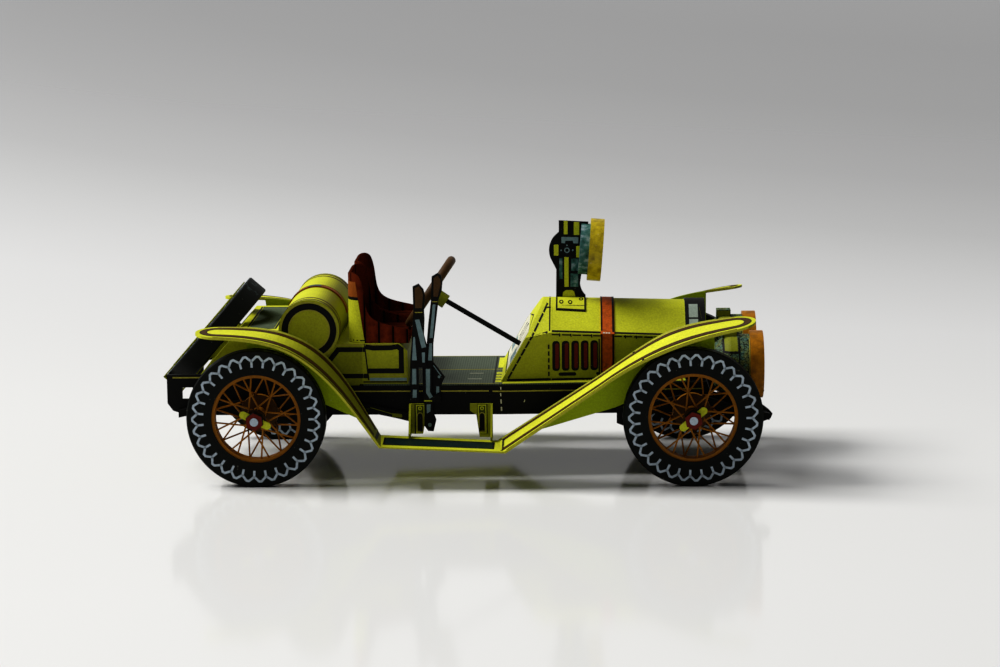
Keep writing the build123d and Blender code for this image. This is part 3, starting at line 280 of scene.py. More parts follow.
def build_shade_group():
    """Painted shade in the body colour: darker where a face looks ahead, and low down on the sides."""
    group, entry, result = shader_group("printed_shade", (("Ink", COLOR, (0.5, 0.5, 0.1, 1)),), (("Ink", COLOR),))
    # Painted shade: faces that look ahead are darkened as if lit from behind, and side faces are darkened low down and
    # towards the back.
    ahead = slide(group, heading(group, 0), 0.15, 0.6, 1.0, 0.36)
    side = slide(group, facing(group, 1), 0.8, 0.92)
    low = slide(group, coordinate(group, 2), SHADE_FOOT, SHADE_TOP, 0.5, 0.85)
    end = MID_X + SHADE_REAR
    rear = slide(group, coordinate(group, 0), end, end + 0.0004, 0.72, 1.0)
    dim = calc(group, "SUBTRACT", 1.0, calc(group, "MULTIPLY", low, rear))
    flank = calc(group, "SUBTRACT", 1.0, calc(group, "MULTIPLY", side, dim))
    shaded = scaled(group, entry.outputs["Ink"], calc(group, "MULTIPLY", ahead, flank))
    group.links.new(shaded, result.inputs["Ink"])
    return group


GROUPS = {
    "printed_card": build_card_group,
    "ruled_lines": build_rule_group,
    "pleats": build_pleat_group,
    "printed_shade": build_shade_group,
}


def group_node(tree, name, inputs=None):
    """A shader group placed in a material."""
    group = bpy.data.node_groups.get(name) or GROUPS[name]()
    return add(tree, "ShaderNodeGroup", inputs, node_tree=group)


def palette(name):
    """A colour of the palette with its alpha."""
    return tuple(getattr(bpy.context.scene.card_colours, name)) + (1,)


def card_material(name, ink, mottle=0.25, rub=0.3, rough=0.58, coat=0.0, gloss=0.1, pattern=None, metallic=0.0):
    """A printed card material. pattern(tree, colour) returns a patterned colour and a height or None."""
    material = bpy.data.materials.new(name)
    material.use_nodes = True
    tree = material.node_tree
    shader = tree.nodes["Principled BSDF"]
    start, height = pattern(tree, palette(ink)) if pattern else (palette(ink), None)
    inputs = {"Ink": start, "Mottle": mottle, "Rub": rub, "Roughness": rough, "Paper": palette("paper")}
    if height is not None:
        inputs["Height"] = height
    card = group_node(tree, "printed_card", inputs)
    for output, target in (("Color", "Base Color"), ("Roughness", "Roughness"), ("Normal", "Normal")):
        tree.links.new(card.outputs[output], shader.inputs[target])
    settings = {"Metallic": metallic, "Coat Weight": coat, "Coat Roughness": 0.35, "Specular IOR Level": gloss}
    for key, value in settings.items():
        shader.inputs[key].default_value = value
    return material


def shade_pattern(tree, start):
    """Body colour with its painted shade."""
    return group_node(tree, "printed_shade", {"Ink": start}).outputs[0], None


def edge_pattern(tree, start):
    """Painted shade, with paler card on the cut edges that face sideways."""
    cut = mix(tree, 0.5, start, palette("gold"))
    return mix(tree, above(tree, facing(tree, 1), 0.8), shade_pattern(tree, start)[0], cut), None


def ruled(tree, axis, pitch, width, broken):
    """Mask of lines ruled across an axis."""
    lines = {"Along": coordinate(tree, axis), "Pitch": pitch, "Line": width, "Break": broken}
    return group_node(tree, "ruled_lines", lines).outputs[0]


HATCH_PITCH, CORE_PITCH, PLEAT_PITCH = 0.00062, 0.001, 0.0036


def floor_pattern(tree, start):
    """Fine hatch across the floor."""
    return mix(tree, ruled(tree, 0, HATCH_PITCH, 0.42, 0.5), start, mix(tree, 0.42, start, palette("black"))), None


def leather_pattern(tree, start):
    """Pleated leather, darker in the seams, high up and in blotches, with painted shade on the faces that look up."""
    pleat = group_node(tree, "pleats", {"Pitch": PLEAT_PITCH, "Seam": 0.12})
    deep = mix(tree, 0.75, start, palette("black"))
    swollen = mix(tree, calc(tree, "MULTIPLY", pleat.outputs["Swell"], 0.75), deep, start)
    bruise = slide(tree, noise(tree, 420, 4), 0.4, 0.66, top=0.8)
    high = slide(tree, coordinate(tree, 2), 0.036, 0.054, top=0.5)
    # Painted shade: faces that look up are darkened to take away the light on the seats' top edges.
    edge = above(tree, facing(tree, 2), 0.3)
    blotched_and_shaded = mix(tree, calc(tree, "MAXIMUM", calc(tree, "MAXIMUM", bruise, high), edge), swollen, deep)
    return mix(tree, pleat.outputs["Seam"], blotched_and_shaded, palette("black")), pleat.outputs["Swell"]


def strap_pattern(tree, start):
    """Leather strap with a worn brown shade."""
    return mix(tree, slide(tree, noise(tree, 900, 4), 0.45, 0.75, top=0.6), start, palette("brown")), None


def patina_pattern(tree, start):
    """Teal print of the search lamp with paler and browner spots."""
    patches = noise(tree, 640, 4)
    pale = mix(tree, slide(tree, patches, 0.5, 0.72, top=0.6), start, palette("tread"))
    return mix(tree, slide(tree, patches, 0.48, 0.3, top=0.8), pale, palette("inset")), None


def stone_pattern(tree, start):
    """Mottled green print of the headlamps."""
    stones = {"Vector": position(tree), "Scale": 1250, "Randomness": 1.0}
    cells = add(tree, "ShaderNodeTexVoronoi", stones, feature="DISTANCE_TO_EDGE")
    crack = calc(tree, "LESS_THAN", cells.outputs["Distance"], 0.07)
    green = mix(tree, slide(tree, noise(tree, 700, 3), 0.4, 0.7), start, palette("teal"))
    return mix(tree, crack, green, palette("black")), None


# How far inside a nut's outer face its ears, its hexagon and its pale middle begin.
NUT_EARS, NUT_HEXAGON, NUT_MIDDLE = 0.00285, 0.00225, 0.0001


def nut_pattern(tree, start):
    """Yellow ears with black edges, a dark red hexagon and a pale middle, by their distance from the wheel."""
    out = calc(tree, "ABSOLUTE", coordinate(tree, 1))
    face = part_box("hub_nut_front_left")[1].y
    ears = mix(tree, above(tree, out, face - NUT_EARS), palette("brown"), start)
    red = mix(tree, above(tree, out, face - NUT_HEXAGON), ears, palette("louvre"))
    edged = mix(tree, above(tree, facing(tree, 1), 0.5), palette("black"), red)
    return mix(tree, above(tree, out, face - NUT_MIDDLE), edged, palette("tread")), None


STEER_HUB = 0.0056  # radius of the green hub of the steering wheel
DRUM_DEPTH = 0.0022  # how far the brake drum reaches out from a wheel's inner face


def steer_pattern(tree, start):
    """Brown rim and a green hub in its middle."""
    hub = {0: position(tree), 1: tuple(middle_of("steering_wheel"))}
    away = add(tree, "ShaderNodeVectorMath", hub, operation="DISTANCE").outputs["Value"]
    return mix(tree, calc(tree, "LESS_THAN", away, STEER_HUB), start, palette("panel")), None


def wheel_pattern(tree, start):
    """Golden brown paint, with painted shade on the flat brake drum behind the spokes."""
    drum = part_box("wheel_front_left")[0].y + DRUM_DEPTH
    # Painted shade: the drum's side faces are darkened towards brown, as the drum lies in shade behind the spokes.
    inside = calc(tree, "LESS_THAN", calc(tree, "ABSOLUTE", coordinate(tree, 1)), drum)
    return mix(tree, calc(tree, "MULTIPLY", inside, above(tree, facing(tree, 1), 0.5)), start, palette("brown")), None


def rim_pattern(tree, start):
    """Brass print streaked with brown."""
    dark = mix(tree, 0.6, start, palette("brown"))
    return mix(tree, slide(tree, noise(tree, 520, 4), 0.42, 0.72), start, dark), None


def tyre_pattern(tree, start):
    """Black card with faint dust on the tread."""
    tread = above(tree, calc(tree, "SUBTRACT", 1.0, facing(tree, 1)), 0.6)
    dust = calc(tree, "MULTIPLY", tread, slide(tree, noise(tree, 650, 4), 0.55, 0.8))
    return mix(tree, calc(tree, "MULTIPLY", dust, 0.35), start, palette("slate")), None


def core_pattern(tree, start):
    """Fine mesh of the radiator core on its front face."""
    mesh = calc(tree, "MAXIMUM", *(ruled(tree, axis, CORE_PITCH, 0.35, 0.2) for axis in (1, 2)))
    return mix(tree, calc(tree, "MULTIPLY", mesh, above(tree, facing(tree, 0), 0.8)), start, palette("slate")), None


MATERIALS = {}
RECIPES = {
    "steer_print": dict(ink="wood", mottle=0.8, rub=0.1, rough=0.5, pattern=steer_pattern),
    "panel_ink": dict(ink="panel"),
    "pale_ink": dict(ink="pale", mottle=0.6),
    "body_card": dict(ink="body", mottle=0.3, pattern=shade_pattern),
    "wing_card": dict(ink="body", mottle=0.3, pattern=edge_pattern),
    "valance_card": dict(ink="valance", mottle=0.3),
    "bright_card": dict(ink="bright", pattern=shade_pattern),
    "patch_ink": dict(ink="body"),
    "black_card": dict(ink="black", rub=0.12),
    "floor_card": dict(ink="floor", pattern=floor_pattern),
    "leather_print": dict(ink="leather", pattern=leather_pattern, rub=0.04, rough=0.8, gloss=0.0),
    "rust_ink": dict(ink="rust"),
    "strap_print": dict(ink="strap", pattern=strap_pattern),
    "worn_strap_print": dict(ink="rust", mottle=0.8, pattern=strap_pattern),
    "deck_ink": dict(ink="floor", mottle=1.0, rough=0.85, gloss=0.0),
    "lamp_print": dict(ink="lamp", pattern=stone_pattern),
    "teal_print": dict(ink="teal", mottle=0.8, pattern=patina_pattern),
    "wood_print": dict(ink="wood", mottle=0.8, rub=0.1, rough=0.5),
    "search_rim_print": dict(ink="search_rim", pattern=rim_pattern, rough=0.4, coat=0.1),
    "lamp_rim_print": dict(ink="lamp_rim", pattern=rim_pattern, rough=0.45),
    "radiator_print": dict(ink="black", pattern=core_pattern),
    "wheel_paint": dict(ink="wheel", mottle=0.7, rub=0.0, rough=0.45, pattern=wheel_pattern),
    "tyre_card": dict(ink="tyre", rough=0.6, rub=0.15, pattern=tyre_pattern),
    "nut_print": dict(ink="body", pattern=nut_pattern),
    "wire_steel": dict(ink="slate", metallic=1.0, rub=0.0, rough=0.35),
    "black_ink": dict(ink="black", rub=0.22),
    "brown_ink": dict(ink="brown", rub=0.12),
    "gold_ink": dict(ink="gold", rub=0.1),
    "paper_edge": dict(ink="paper", mottle=0.5),
    "louvre_ink": dict(ink="louvre", rub=0.1),
    "slate_ink": dict(ink="slate", mottle=0.6),
    "olive_ink": dict(ink="olive"),
    "inset_ink": dict(ink="inset", mottle=0.6, rough=0.35),
    "tread_ink": dict(ink="tread", mottle=0.5, rub=0.0),
    "rub_ink": dict(ink="paper", mottle=0.5),
}


def material(name):
    """A material of this model, built when it is first wanted."""
    if name not in MATERIALS:
        MATERIALS[name] = card_material(name, **RECIPES[name])
    return MATERIALS[name]


# ---- Flat printed shapes, in millimetres on a view of the model ------------------------------------
HAIRLINE, THIN, FINE, BOLD = 0.22, 0.3, 0.35, 0.5  # widths of printed lines


def between(start, end, share):
    """The point a share of the way from one point to another."""
    return start[0] + (end[0] - start[0]) * share, start[1] + (end[1] - start[1]) * share


def line(points, width, closed=False, cell=1.0):
    """A printed line along points, mitred at its corners, cut into cells that can follow a curved surface."""
    path = list(points) + ([points[0]] if closed else [])
    fine = []
    for start, end in zip(path, path[1:]):
        count = max(1, math.ceil(math.dist(start, end) / cell))
        fine += [between(start, end, i / count) for i in range(count)]
    if not closed:
        fine.append(path[-1])
    sides = []
    last = len(fine) - 1
    for i, (a, b) in enumerate(fine):
        before = fine[i - 1] if i or closed else None
        after = fine[(i + 1) % len(fine)] if i < last or closed else None
        first = Vector((a - before[0], b - before[1])).normalized() if before else None
        second = Vector((after[0] - a, after[1] - b)).normalized() if after else None
        way = ((first or second) + (second or first)).normalized()
        square = Vector((-way.y, way.x))
        stretch = 1 / max(0.5, way.dot(second or first))
        for half in (width / 2, -width / 2):
            sides.append((a + square.x * half * stretch, b + square.y * half * stretch))
    ring_of = range(len(fine)) if closed else range(last)
    return sides, [(2 * i, 2 * i + 1, (2 * i + 3) % len(sides), (2 * i + 2) % len(sides)) for i in ring_of]


def stroke(a0, b0, a1, b1, width, cell=1.0):
    """A printed line from one point to another."""
    return line([(a0, b0), (a1, b1)], width, cell=cell)


def loop(a0, a1, b0, b1, width, cell=1.0):
    """A printed line round a rectangle."""
    return line([(a0, b0), (a1, b0), (a1, b1), (a0, b1)], width, True, cell)


def dashes(points, width, dash, gap):
    """Printed dashes along points."""
    shapes = []
    for start, end in zip(points, points[1:]):
        count = max(1, round(math.dist(start, end) / (dash + gap)))
        inked = dash / (dash + gap)
        for i in range(count):
            ends = [between(start, end, share / count) for share in (i, i + inked)]
            shapes.append(line(ends, width))
    return shapes


def area(points, cell=None):
    """A filled outline, cut into square cells where the surface below it is curved."""
    sheet = bmesh.new()
    sheet.faces.new([sheet.verts.new((a, b, 0)) for a, b in points])
    for axis in (0, 1) if cell else ():
        low, high = min(p[axis] for p in points), max(p[axis] for p in points)
        for i in range(1, math.ceil((high - low) / cell)):
            cut, way = Vector((0, 0, 0)), Vector((0, 0, 0))
            cut[axis], way[axis] = low + i * cell, 1
            everything = sheet.verts[:] + sheet.edges[:] + sheet.faces[:]
            bmesh.ops.bisect_plane(sheet, geom=everything, plane_co=cut, plane_no=way, dist=1e-5)
    sheet.verts.index_update()
    flat = [(v.co.x, v.co.y) for v in sheet.verts]
    faces = [tuple(v.index for v in f.verts) for f in sheet.faces]
    sheet.free()
    return flat, faces


def box_area(a0, a1, b0, b1, cell=None):
    """A filled rectangle."""
    return area([(a0, b0), (a1, b0), (a1, b1), (a0, b1)], cell)


def rounded(a0, a1, b0, b1, radius, steps=4):
    """A filled rectangle with round corners."""
    points = []
    for i, (a, b) in enumerate(((a1, b1), (a0, b1), (a0, b0), (a1, b0))):
        ca, cb = a - math.copysign(radius, a - (a0 + a1) / 2), b - math.copysign(radius, b - (b0 + b1) / 2)
        points += circle(ca, cb, radius, [math.pi / 2 * (i + k / steps) for k in range(steps + 1)])
    return area(points)


def circle(a, b, radius, turns):
    """Points round a centre at some angles."""
    return [(a + radius * math.cos(t), b + radius * math.sin(t)) for t in turns]


def ring(a, b, inner, outer, steps=48):
    """A printed ring, or a disc where the inner radius is 0."""
    turns = [math.tau * i / steps for i in range(steps)]
    rim = circle(a, b, outer, turns)
    if not inner:
        return area(rim)
    faces = [(i, (i + 1) % steps, steps + (i + 1) % steps, steps + i) for i in range(steps)]
    return rim + circle(a, b, inner, turns), faces


def across(sign, points):
    """Points of the view from above, on one side of the car."""
    return [(x, sign * y) for x, y in points]


# ---- Laying the shapes on the parts ----------------------------------------------------------------
TREES = {}
# The two axes of a view, the axis that it looks along and which way.
VIEWS = {
    "right": ((0, 2), 1, 1),
    "left": ((0, 2), 1, -1),
    "top": ((0, 1), 2, -1),
    "front": ((1, 2), 0, -1),
    "back": ((1, 2), 0, 1),
}
LAYER_STEP = 0.6  # how much further a shape stands out for each layer under it, in films
FILM_ROOT = 0.03 * MM  # how far a film reaches into its part


def on_part(node, view):
    """How a point of a view, in millimetres from the middle of the wheelbase, lands on a part."""
    if node not in TREES:
        mesh = PARTS[node].data
        TREES[node] = BVHTree.FromPolygons([v.co for v in mesh.vertices], [p.vertices[:] for p in mesh.polygons])
    axes, depth, sign = VIEWS[view]
    ray = Vector((0, 0, 0))
    ray[depth] = sign
    middle = middle_of(node)

    def place(a, b):
        start = Vector((0, 0, 0))
        start[axes[0]], start[axes[1]] = a * MM, b * MM
        start.x += MID_X if axes[0] == 0 else 0
        start[depth] = -sign
        point, normal, _, _ = TREES[node].ray_cast(start, ray)
        if point is None:
            start[depth] = middle[depth] - sign * MM
            point, normal, _, _ = TREES[node].find_nearest(start)
        return point, -normal if normal.dot(ray) > 0 else normal

    return place


def upright(a, b):
    """How a point in millimetres lands on an upright plane through the origin that faces right."""
    return Vector((a * MM, 0, b * MM)), Vector((0, -1, 0))


def on_drum(centre, radius):
    """How degrees from the top and millimetres along Y land on a drum that lies across the car."""

    def place(turn, y):
        normal = Vector((math.sin(math.radians(turn)), 0, math.cos(math.radians(turn))))
        return centre + normal * radius + Vector((0, y * MM, 0)), normal

    return place


def lay(film, place, shape, layer=0):
    """Add a shape to a mesh as a thin closed film on its surface."""
    points, faces = shape
    lift = bpy.context.scene.card_sizes.film * (1 + LAYER_STEP * layer)
    spots = [place(a, b) for a, b in points]
    high = [film.verts.new(point + normal * lift) for point, normal in spots]
    low = [film.verts.new(point - normal * FILM_ROOT) for point, normal in spots]
    edges = {(i, j) for face in faces for i, j in zip(face, face[1:] + face[:1])}
    for face in faces:
        film.faces.new([high[i] for i in face])
        film.faces.new([low[i] for i in reversed(face)])
    for i, j in sorted(edges):
        if (j, i) not in edges:
            film.faces.new((high[j], high[i], low[i], low[j]))


def film_mesh(film, name):
    """The mesh of a finished film."""
    bmesh.ops.recalc_face_normals(film, faces=film.faces[:])
    mesh = bpy.data.meshes.new(name)
    film.to_mesh(mesh)
    film.free()
    return mesh


def piece(name, mesh, ink, body="root"):
    """An object of one ink that rides on a body."""
    made = bpy.data.objects.new(name, mesh)
    bpy.context.scene.collection.objects.link(made)
    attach(made, body)


def print_on(name, *jobs):
    """Print shapes, one piece for each ink. Each job is an ink, a place, a layer and its shapes."""
    films = {}
    for ink, place, layer, *shapes in jobs:
        if ink not in films:
            films[ink] = bmesh.new()
        for shape in shapes:
            lay(films[ink], place, shape, layer)
    for ink, film in films.items():
        mesh = film_mesh(film, f"{name}_{ink}")
        mesh.materials.append(material(ink))
        piece(f"{name}_{ink}", mesh, ink)


# ---- Shapes that repeat ----------------------------------------------------------------------------
def repeat_tree(name, ringed):
    """Geometry nodes that repeat one printed shape round a ring or along a row."""
    tree = bpy.data.node_groups.new(name, "GeometryNodeTree")
    sockets = {"Geometry": "Geometry", "Shape": "Object", "Count": "Int", "Ink": "Material"}
    sockets.update(dict.fromkeys(("Centre", "Turn", "Step"), "Vector"))
    for label, kind in sockets.items():
        tree.interface.new_socket(name=label, in_out="INPUT", socket_type=f"NodeSocket{kind}")
    tree.interface.new_socket(name="Geometry", in_out="OUTPUT", socket_type="NodeSocketGeometry")
    entry, result = tree.nodes.new("NodeGroupInput"), tree.nodes.new("NodeGroupOutput")
    wanted = entry.outputs
    copies = {"Instance": add(tree, "GeometryNodeObjectInfo", {"Object": wanted["Shape"]}).outputs["Geometry"]}
    if ringed:
        copies["Points"] = add(tree, "GeometryNodePoints", {"Count": wanted["Count"]}).outputs[0]
        index = add(tree, "GeometryNodeInputIndex").outputs[0]
        turn = calc(tree, "MULTIPLY", calc(tree, "DIVIDE", index, wanted["Count"]), math.tau)
        copies["Rotation"] = add(tree, "ShaderNodeCombineXYZ", {1: turn}).outputs[0]
    else:
        row = {"Count": wanted["Count"], "Offset": wanted["Step"]}
        copies["Points"] = add(tree, "GeometryNodeMeshLine", row, mode="OFFSET").outputs[0]
    copied = add(tree, "GeometryNodeInstanceOnPoints", copies).outputs[0]
    real = add(tree, "GeometryNodeRealizeInstances", {0: copied}).outputs[0]
    moved = {0: real, "Translation": wanted["Centre"], "Rotation": wanted["Turn"]}
    moved = add(tree, "GeometryNodeTransform", moved).outputs[0]
    inked = add(tree, "GeometryNodeSetMaterial", {0: moved, "Material": wanted["Ink"]}).outputs[0]
    tree.links.new(inked, result.inputs[0])
    return tree


def repeated(name, ink, body, ringed, place, shapes, layer=0, **wanted):
    """A plain mesh of some shapes repeated by geometry nodes."""
    film = bmesh.new()
    for shape in shapes:
        lay(film, place, shape, layer)
    tree_name = "round_a_ring" if ringed else "along_a_row"
    tree = bpy.data.node_groups.get(tree_name) or repeat_tree(tree_name, ringed)
    host = bpy.data.objects.new("host", bpy.data.meshes.new("host"))
    pattern = bpy.data.objects.new("pattern", film_mesh(film, "pattern"))
    for helper in (host, pattern):
        bpy.context.scene.collection.objects.link(helper)
    modifier = host.modifiers.new("repeat", "NODES")
    modifier.node_group = tree
    values = {"Shape": pattern, "Ink": material(ink), **wanted}
    for socket in tree.interface.items_tree:
        if socket.item_type == "SOCKET" and socket.in_out == "INPUT" and socket.name in values:
            modifier[socket.identifier] = values[socket.name]
    host.update_tag()
    bpy.context.view_layer.update()
    ready = host.evaluated_get(bpy.context.evaluated_depsgraph_get())
    mesh = bpy.data.meshes.new_from_object(ready)
    mesh.name = name
    for helper in (host, pattern):
        bpy.data.objects.remove(helper)
    piece(name, mesh, ink, body)


# ---- Operators: one for each group of pieces -------------------------------------------------------
CARD_OF = {
    "body_card": "rear_body seat_box fuel_tank cowl hood dashboard running_board_hangers spare_carrier",
    "wing_card": "wing_right wing_left",
    "valance_card": "front_valance_right front_valance_left rear_valance_right rear_valance_left",
    "black_card": "frame front_axle rear_axle rear_springs front_springs steering_column headlamp_brackets"
    " search_lamp_bracket lever_quadrant gear_lever brake_lever",
    "floor_card": "floor_board",
    "leather_print": "driver_seat passenger_seat driver_cushion passenger_cushion",
    "strap_print": "hood_strap",
    "worn_strap_print": "tank_strap",
    "steer_print": "steering_wheel",
    "lamp_print": "headlamp_right headlamp_left",
    "teal_print": "search_lamp_body",
    "search_rim_print": "search_lamp_rim",
    "lamp_rim_print": "headlamp_rim_right headlamp_rim_left",
    "radiator_print": "radiator",
    "wheel_paint": " ".join(f"wheel_{corner}" for corner in CORNERS),
    "tyre_card": "spare_tyre " + " ".join(f"tyre_{corner}" for corner in CORNERS),
    "nut_print": " ".join(f"hub_nut_{corner}" for corner in CORNERS),
    "wire_steel": "front_axle_wire rear_axle_wire",
}


class CARDCAR_OT_cards(bpy.types.Operator):
    """Give every CAD part its printed card"""

    bl_idname = "cardcar.cards"
    bl_label = "Card of the parts"

    def execute(self, context):
        for name, nodes in CARD_OF.items():
            for node in nodes.split():
                slots = PARTS[node].material_slots
                for slot in slots:
                    slot.material = material(name)
        return {"FINISHED"}


def flat_heading(node, toward, closeness=0.97):
    """Which way the flat faces of a part look that look roughly one way."""
    faces = [face for face in PARTS[node].data.polygons if face.normal.dot(toward) > closeness]
    return sum((face.normal * face.area for face in faces), Vector()).normalized()


# How far the lugs' ticks and crowns are from the middle of a tyre.
TICK_INNER, TICK_OUTER, CROWN_INNER, CROWN_OUTER = 13.3, 14.9, 14.85, 16.05


class CARDCAR_OT_tyres(bpy.types.Operator):
    """Print the pale lug pattern on the side walls of the tyres"""

    bl_idname = "cardcar.tyres"
    bl_label = "Tyre lugs"

    def execute(self, context):
        sizes = context.scene.card_sizes
        pitch, width = math.tau / sizes.lugs, sizes.tread_line / MM

        def polar(radius, share):
            return radius * math.cos(share * pitch), radius * math.sin(share * pitch)

        crown = [polar(CROWN_INNER, 0), polar(CROWN_OUTER, 0.4), polar(CROWN_OUTER, 0.6), polar(CROWN_INNER, 1)]
        lug = line(crown, width), line([polar(TICK_INNER, 0), polar(TICK_OUTER, 0)], width)
        rings = []
        for corner in CORNERS:
            low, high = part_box(f"tyre_{corner}")
            x, _, z = (low + high) / 2
            body = f"wheel_{corner}_body"
            rings.append((f"near_{corner}", body, (x, low.y, z), (0, 0, 0)))
            rings.append((f"far_{corner}", body, (x, high.y, z), (0, 0, math.pi)))
        # The spare lies against the sloping back of the body.
        out = flat_heading("spare_tyre", Vector((-0.75, 0, 0.66)))
        reach = max(vertex.co.dot(out) for vertex in PARTS["spare_tyre"].data.vertices)
        middle = middle_of("spare_tyre")
        face = middle + out * (reach - middle.dot(out))
        turn = Vector((0, -1, 0)).rotation_difference(out).to_euler()
        rings.append(("spare", "root", tuple(face), tuple(turn)))
        for name, body, centre, turn in rings:
            repeated(f"tread_{name}", "tread_ink", body, True, upright, lug, Count=sizes.lugs, Centre=centre, Turn=turn)
        return {"FINISHED"}


def wing_stripe(tip, way, corner):
    """A loop of pinstripe on a wing, from its corner round the tip and back, in the view from above."""
    inner, outer, middle, reach = 25.1, 31.8, 28.45, 3.5
    centre = tip - way * 5.5
    points = [(corner, inner), (centre, inner)]
    for k in range(1, 12):
        angle = math.pi * k / 12
        points.append((centre + way * reach * math.sin(angle), middle - (middle - inner) * math.cos(angle)))
    return points + [(centre, outer), (corner, outer)]


class CARDCAR_OT_wings(bpy.types.Operator):
    """Print pinstripes on the wings and the dark insets of the running boards"""

    bl_idname = "cardcar.wings"
    bl_label = "Wing pinstripes"

    def execute(self, context):
        sizes = context.scene.card_sizes
        stripe, black = sizes.pinstripe / MM, sizes.outline / MM
        for side, sign in SIDES.items():
            low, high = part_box(f"wing_{side}")
            top = on_part(f"wing_{side}", "top")
            jobs = []
            # The front wing, then the rear: its tip, which way it points, its corner and where its lines start.
            for tip, way, corner, start in (
                ((high.x - MID_X) / MM, 1, 7.4, 8.2),
                ((low.x - MID_X) / MM, -1, -25.2, -25.0),
            ):
                base = corner + way * 0.4
                inside = [(5.6, 25.4), (3.4, 26.2), (2.6, 28.4), (3.4, 30.8), (5.6, 31.5)]
                inside = [(base, 25.4)] + [(tip - way * a, y) for a, y in inside] + [(base, 31.5)]
                trim = across(sign, wing_stripe(tip, way, corner))
                gold, edge = sign * 23.4, sign * 33.72
                jobs += [
                    ("bright_card", top, 0, area(across(sign, inside), 1.0)),
                    ("black_ink", top, 1, line(trim, stripe + 0.4)),
                    ("brown_ink", top, 2, line(trim, stripe)),
                    ("gold_ink", top, 0, stroke(start, gold, tip - way * 5, gold, 0.6)),
                    ("brown_ink", top, 0, stroke(start, edge, tip - way * 5, edge, FINE)),
                ]
            folds = [stroke(x, sign * 24.4, x, sign * 32.4, black) for x in (7.2, -24.6)]
            pins = ((6.6, 24.2, 0.35), (7.0, 32.9, 0.35), (40.2, 23.6, 0.35), (42.4, 33.2, 0.3))
            pins = [ring(x, sign * y, 0, radius, 10) for x, y, radius in pins]
            jobs += [
                ("inset_ink", top, 0, box_area(-22.6, 4.6, sign * 25.8, sign * 31.6)),
                ("black_ink", top, 1, loop(-22.8, 4.8, sign * 25.6, sign * 31.8, black), *folds, *pins),
            ]
            print_on(f"wing_{side}_print", *jobs)
        return {"FINISHED"}


# Where the hood's hinge starts behind, and how much it falls on its way forward.
HINGE_X, HINGE_Z, HINGE_FALL = 19.3, 36.9, 0.0493


def hinge(x, rise):
    """A point of the hood's side that is some way over its hinge."""
    return x, HINGE_Z - (x - HINGE_X) * HINGE_FALL + rise


class CARDCAR_OT_hood(bpy.types.Operator):
    """Print the hinge, panel lines and strap edges of the hood, and its louvres"""

    bl_idname = "cardcar.hood"
    bl_label = "Hood print"

    def execute(self, context):
        sizes = context.scene.card_sizes
        black = sizes.outline / MM
        low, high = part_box("hood_strap")
        # Where the black lines along the strap's edges are, and how wide.
        edges = ((low.x - MID_X) / MM + 0.25, 0.4), ((high.x - MID_X) / MM - 0.3, 0.5)
        black_louvre, louvre_step = rounded(19.6, 21.55, 26.9, 34.7, 0.8), sizes.louvre_pitch / MM
        for side in SIDES:
            flank, strap = on_part("hood", side), on_part("hood_strap", side)
            ticks = [
                line([hinge(x, -0.15), hinge(x + 0.15, -1.0)], THIN) for x in (21.4, 24.3, 29.6, 38.2, 41.0, 47.3)
            ]
            shapes = (
                line([hinge(19.5, 0.3), hinge(53.6, 0.3)], 0.4),
                *dashes([hinge(19.5, -0.5), hinge(53.6, -0.5)], 0.35, 2.2, 0.4),
                *ticks,
                line([(31.6, 24.9), hinge(31.6, -1.3)], FINE),
                rounded(21.2, 25.7, 25.6, 26.5, 0.4),
                ring(31.2, 26.0, 0, 0.4, 12),
                stroke(19.4, 24.75, 53.6, 24.75, BOLD),
                line([hinge(19.35, 0.2), (19.35, 43.0)], black),
            )
            print_on(f"hood_print_{side}", ("black_ink", flank, 0, *shapes))
            step = tuple(flank(20.0 + louvre_step, 30.0)[0] - flank(20.0, 30.0)[0])
            core = rounded(20.35, 21.25, 27.5, 34.1, 0.44)
            for label, ink, shape, layer in (
                ("black", "black_ink", black_louvre, 0),
                ("red", "louvre_ink", core, 1),
            ):
                name = f"louvres_{label}_{side}"
                repeated(name, ink, "root", False, flank, (shape,), layer, Count=sizes.louvres, Step=step)
            print_on(
                f"strap_print_{side}",
                ("black_ink", strap, 0, *(stroke(x, 24.6, x, 42.0, width) for x, width in edges)),
                ("paper_edge", strap, 1, *dashes([(32.6, 36.55), (34.6, 36.45)], 0.2, 0.5, 0.2)),
            )
        print_on(
            "hood_top_print",
            ("black_ink", on_part("hood", "top"), 0, stroke(19.45, -7.0, 19.45, 7.0, black)),
            ("black_ink", on_part("hood_strap", "top"), 0, *(stroke(x, -13, x, 13, width) for x, width in edges)),
        )
        return {"FINISHED"}


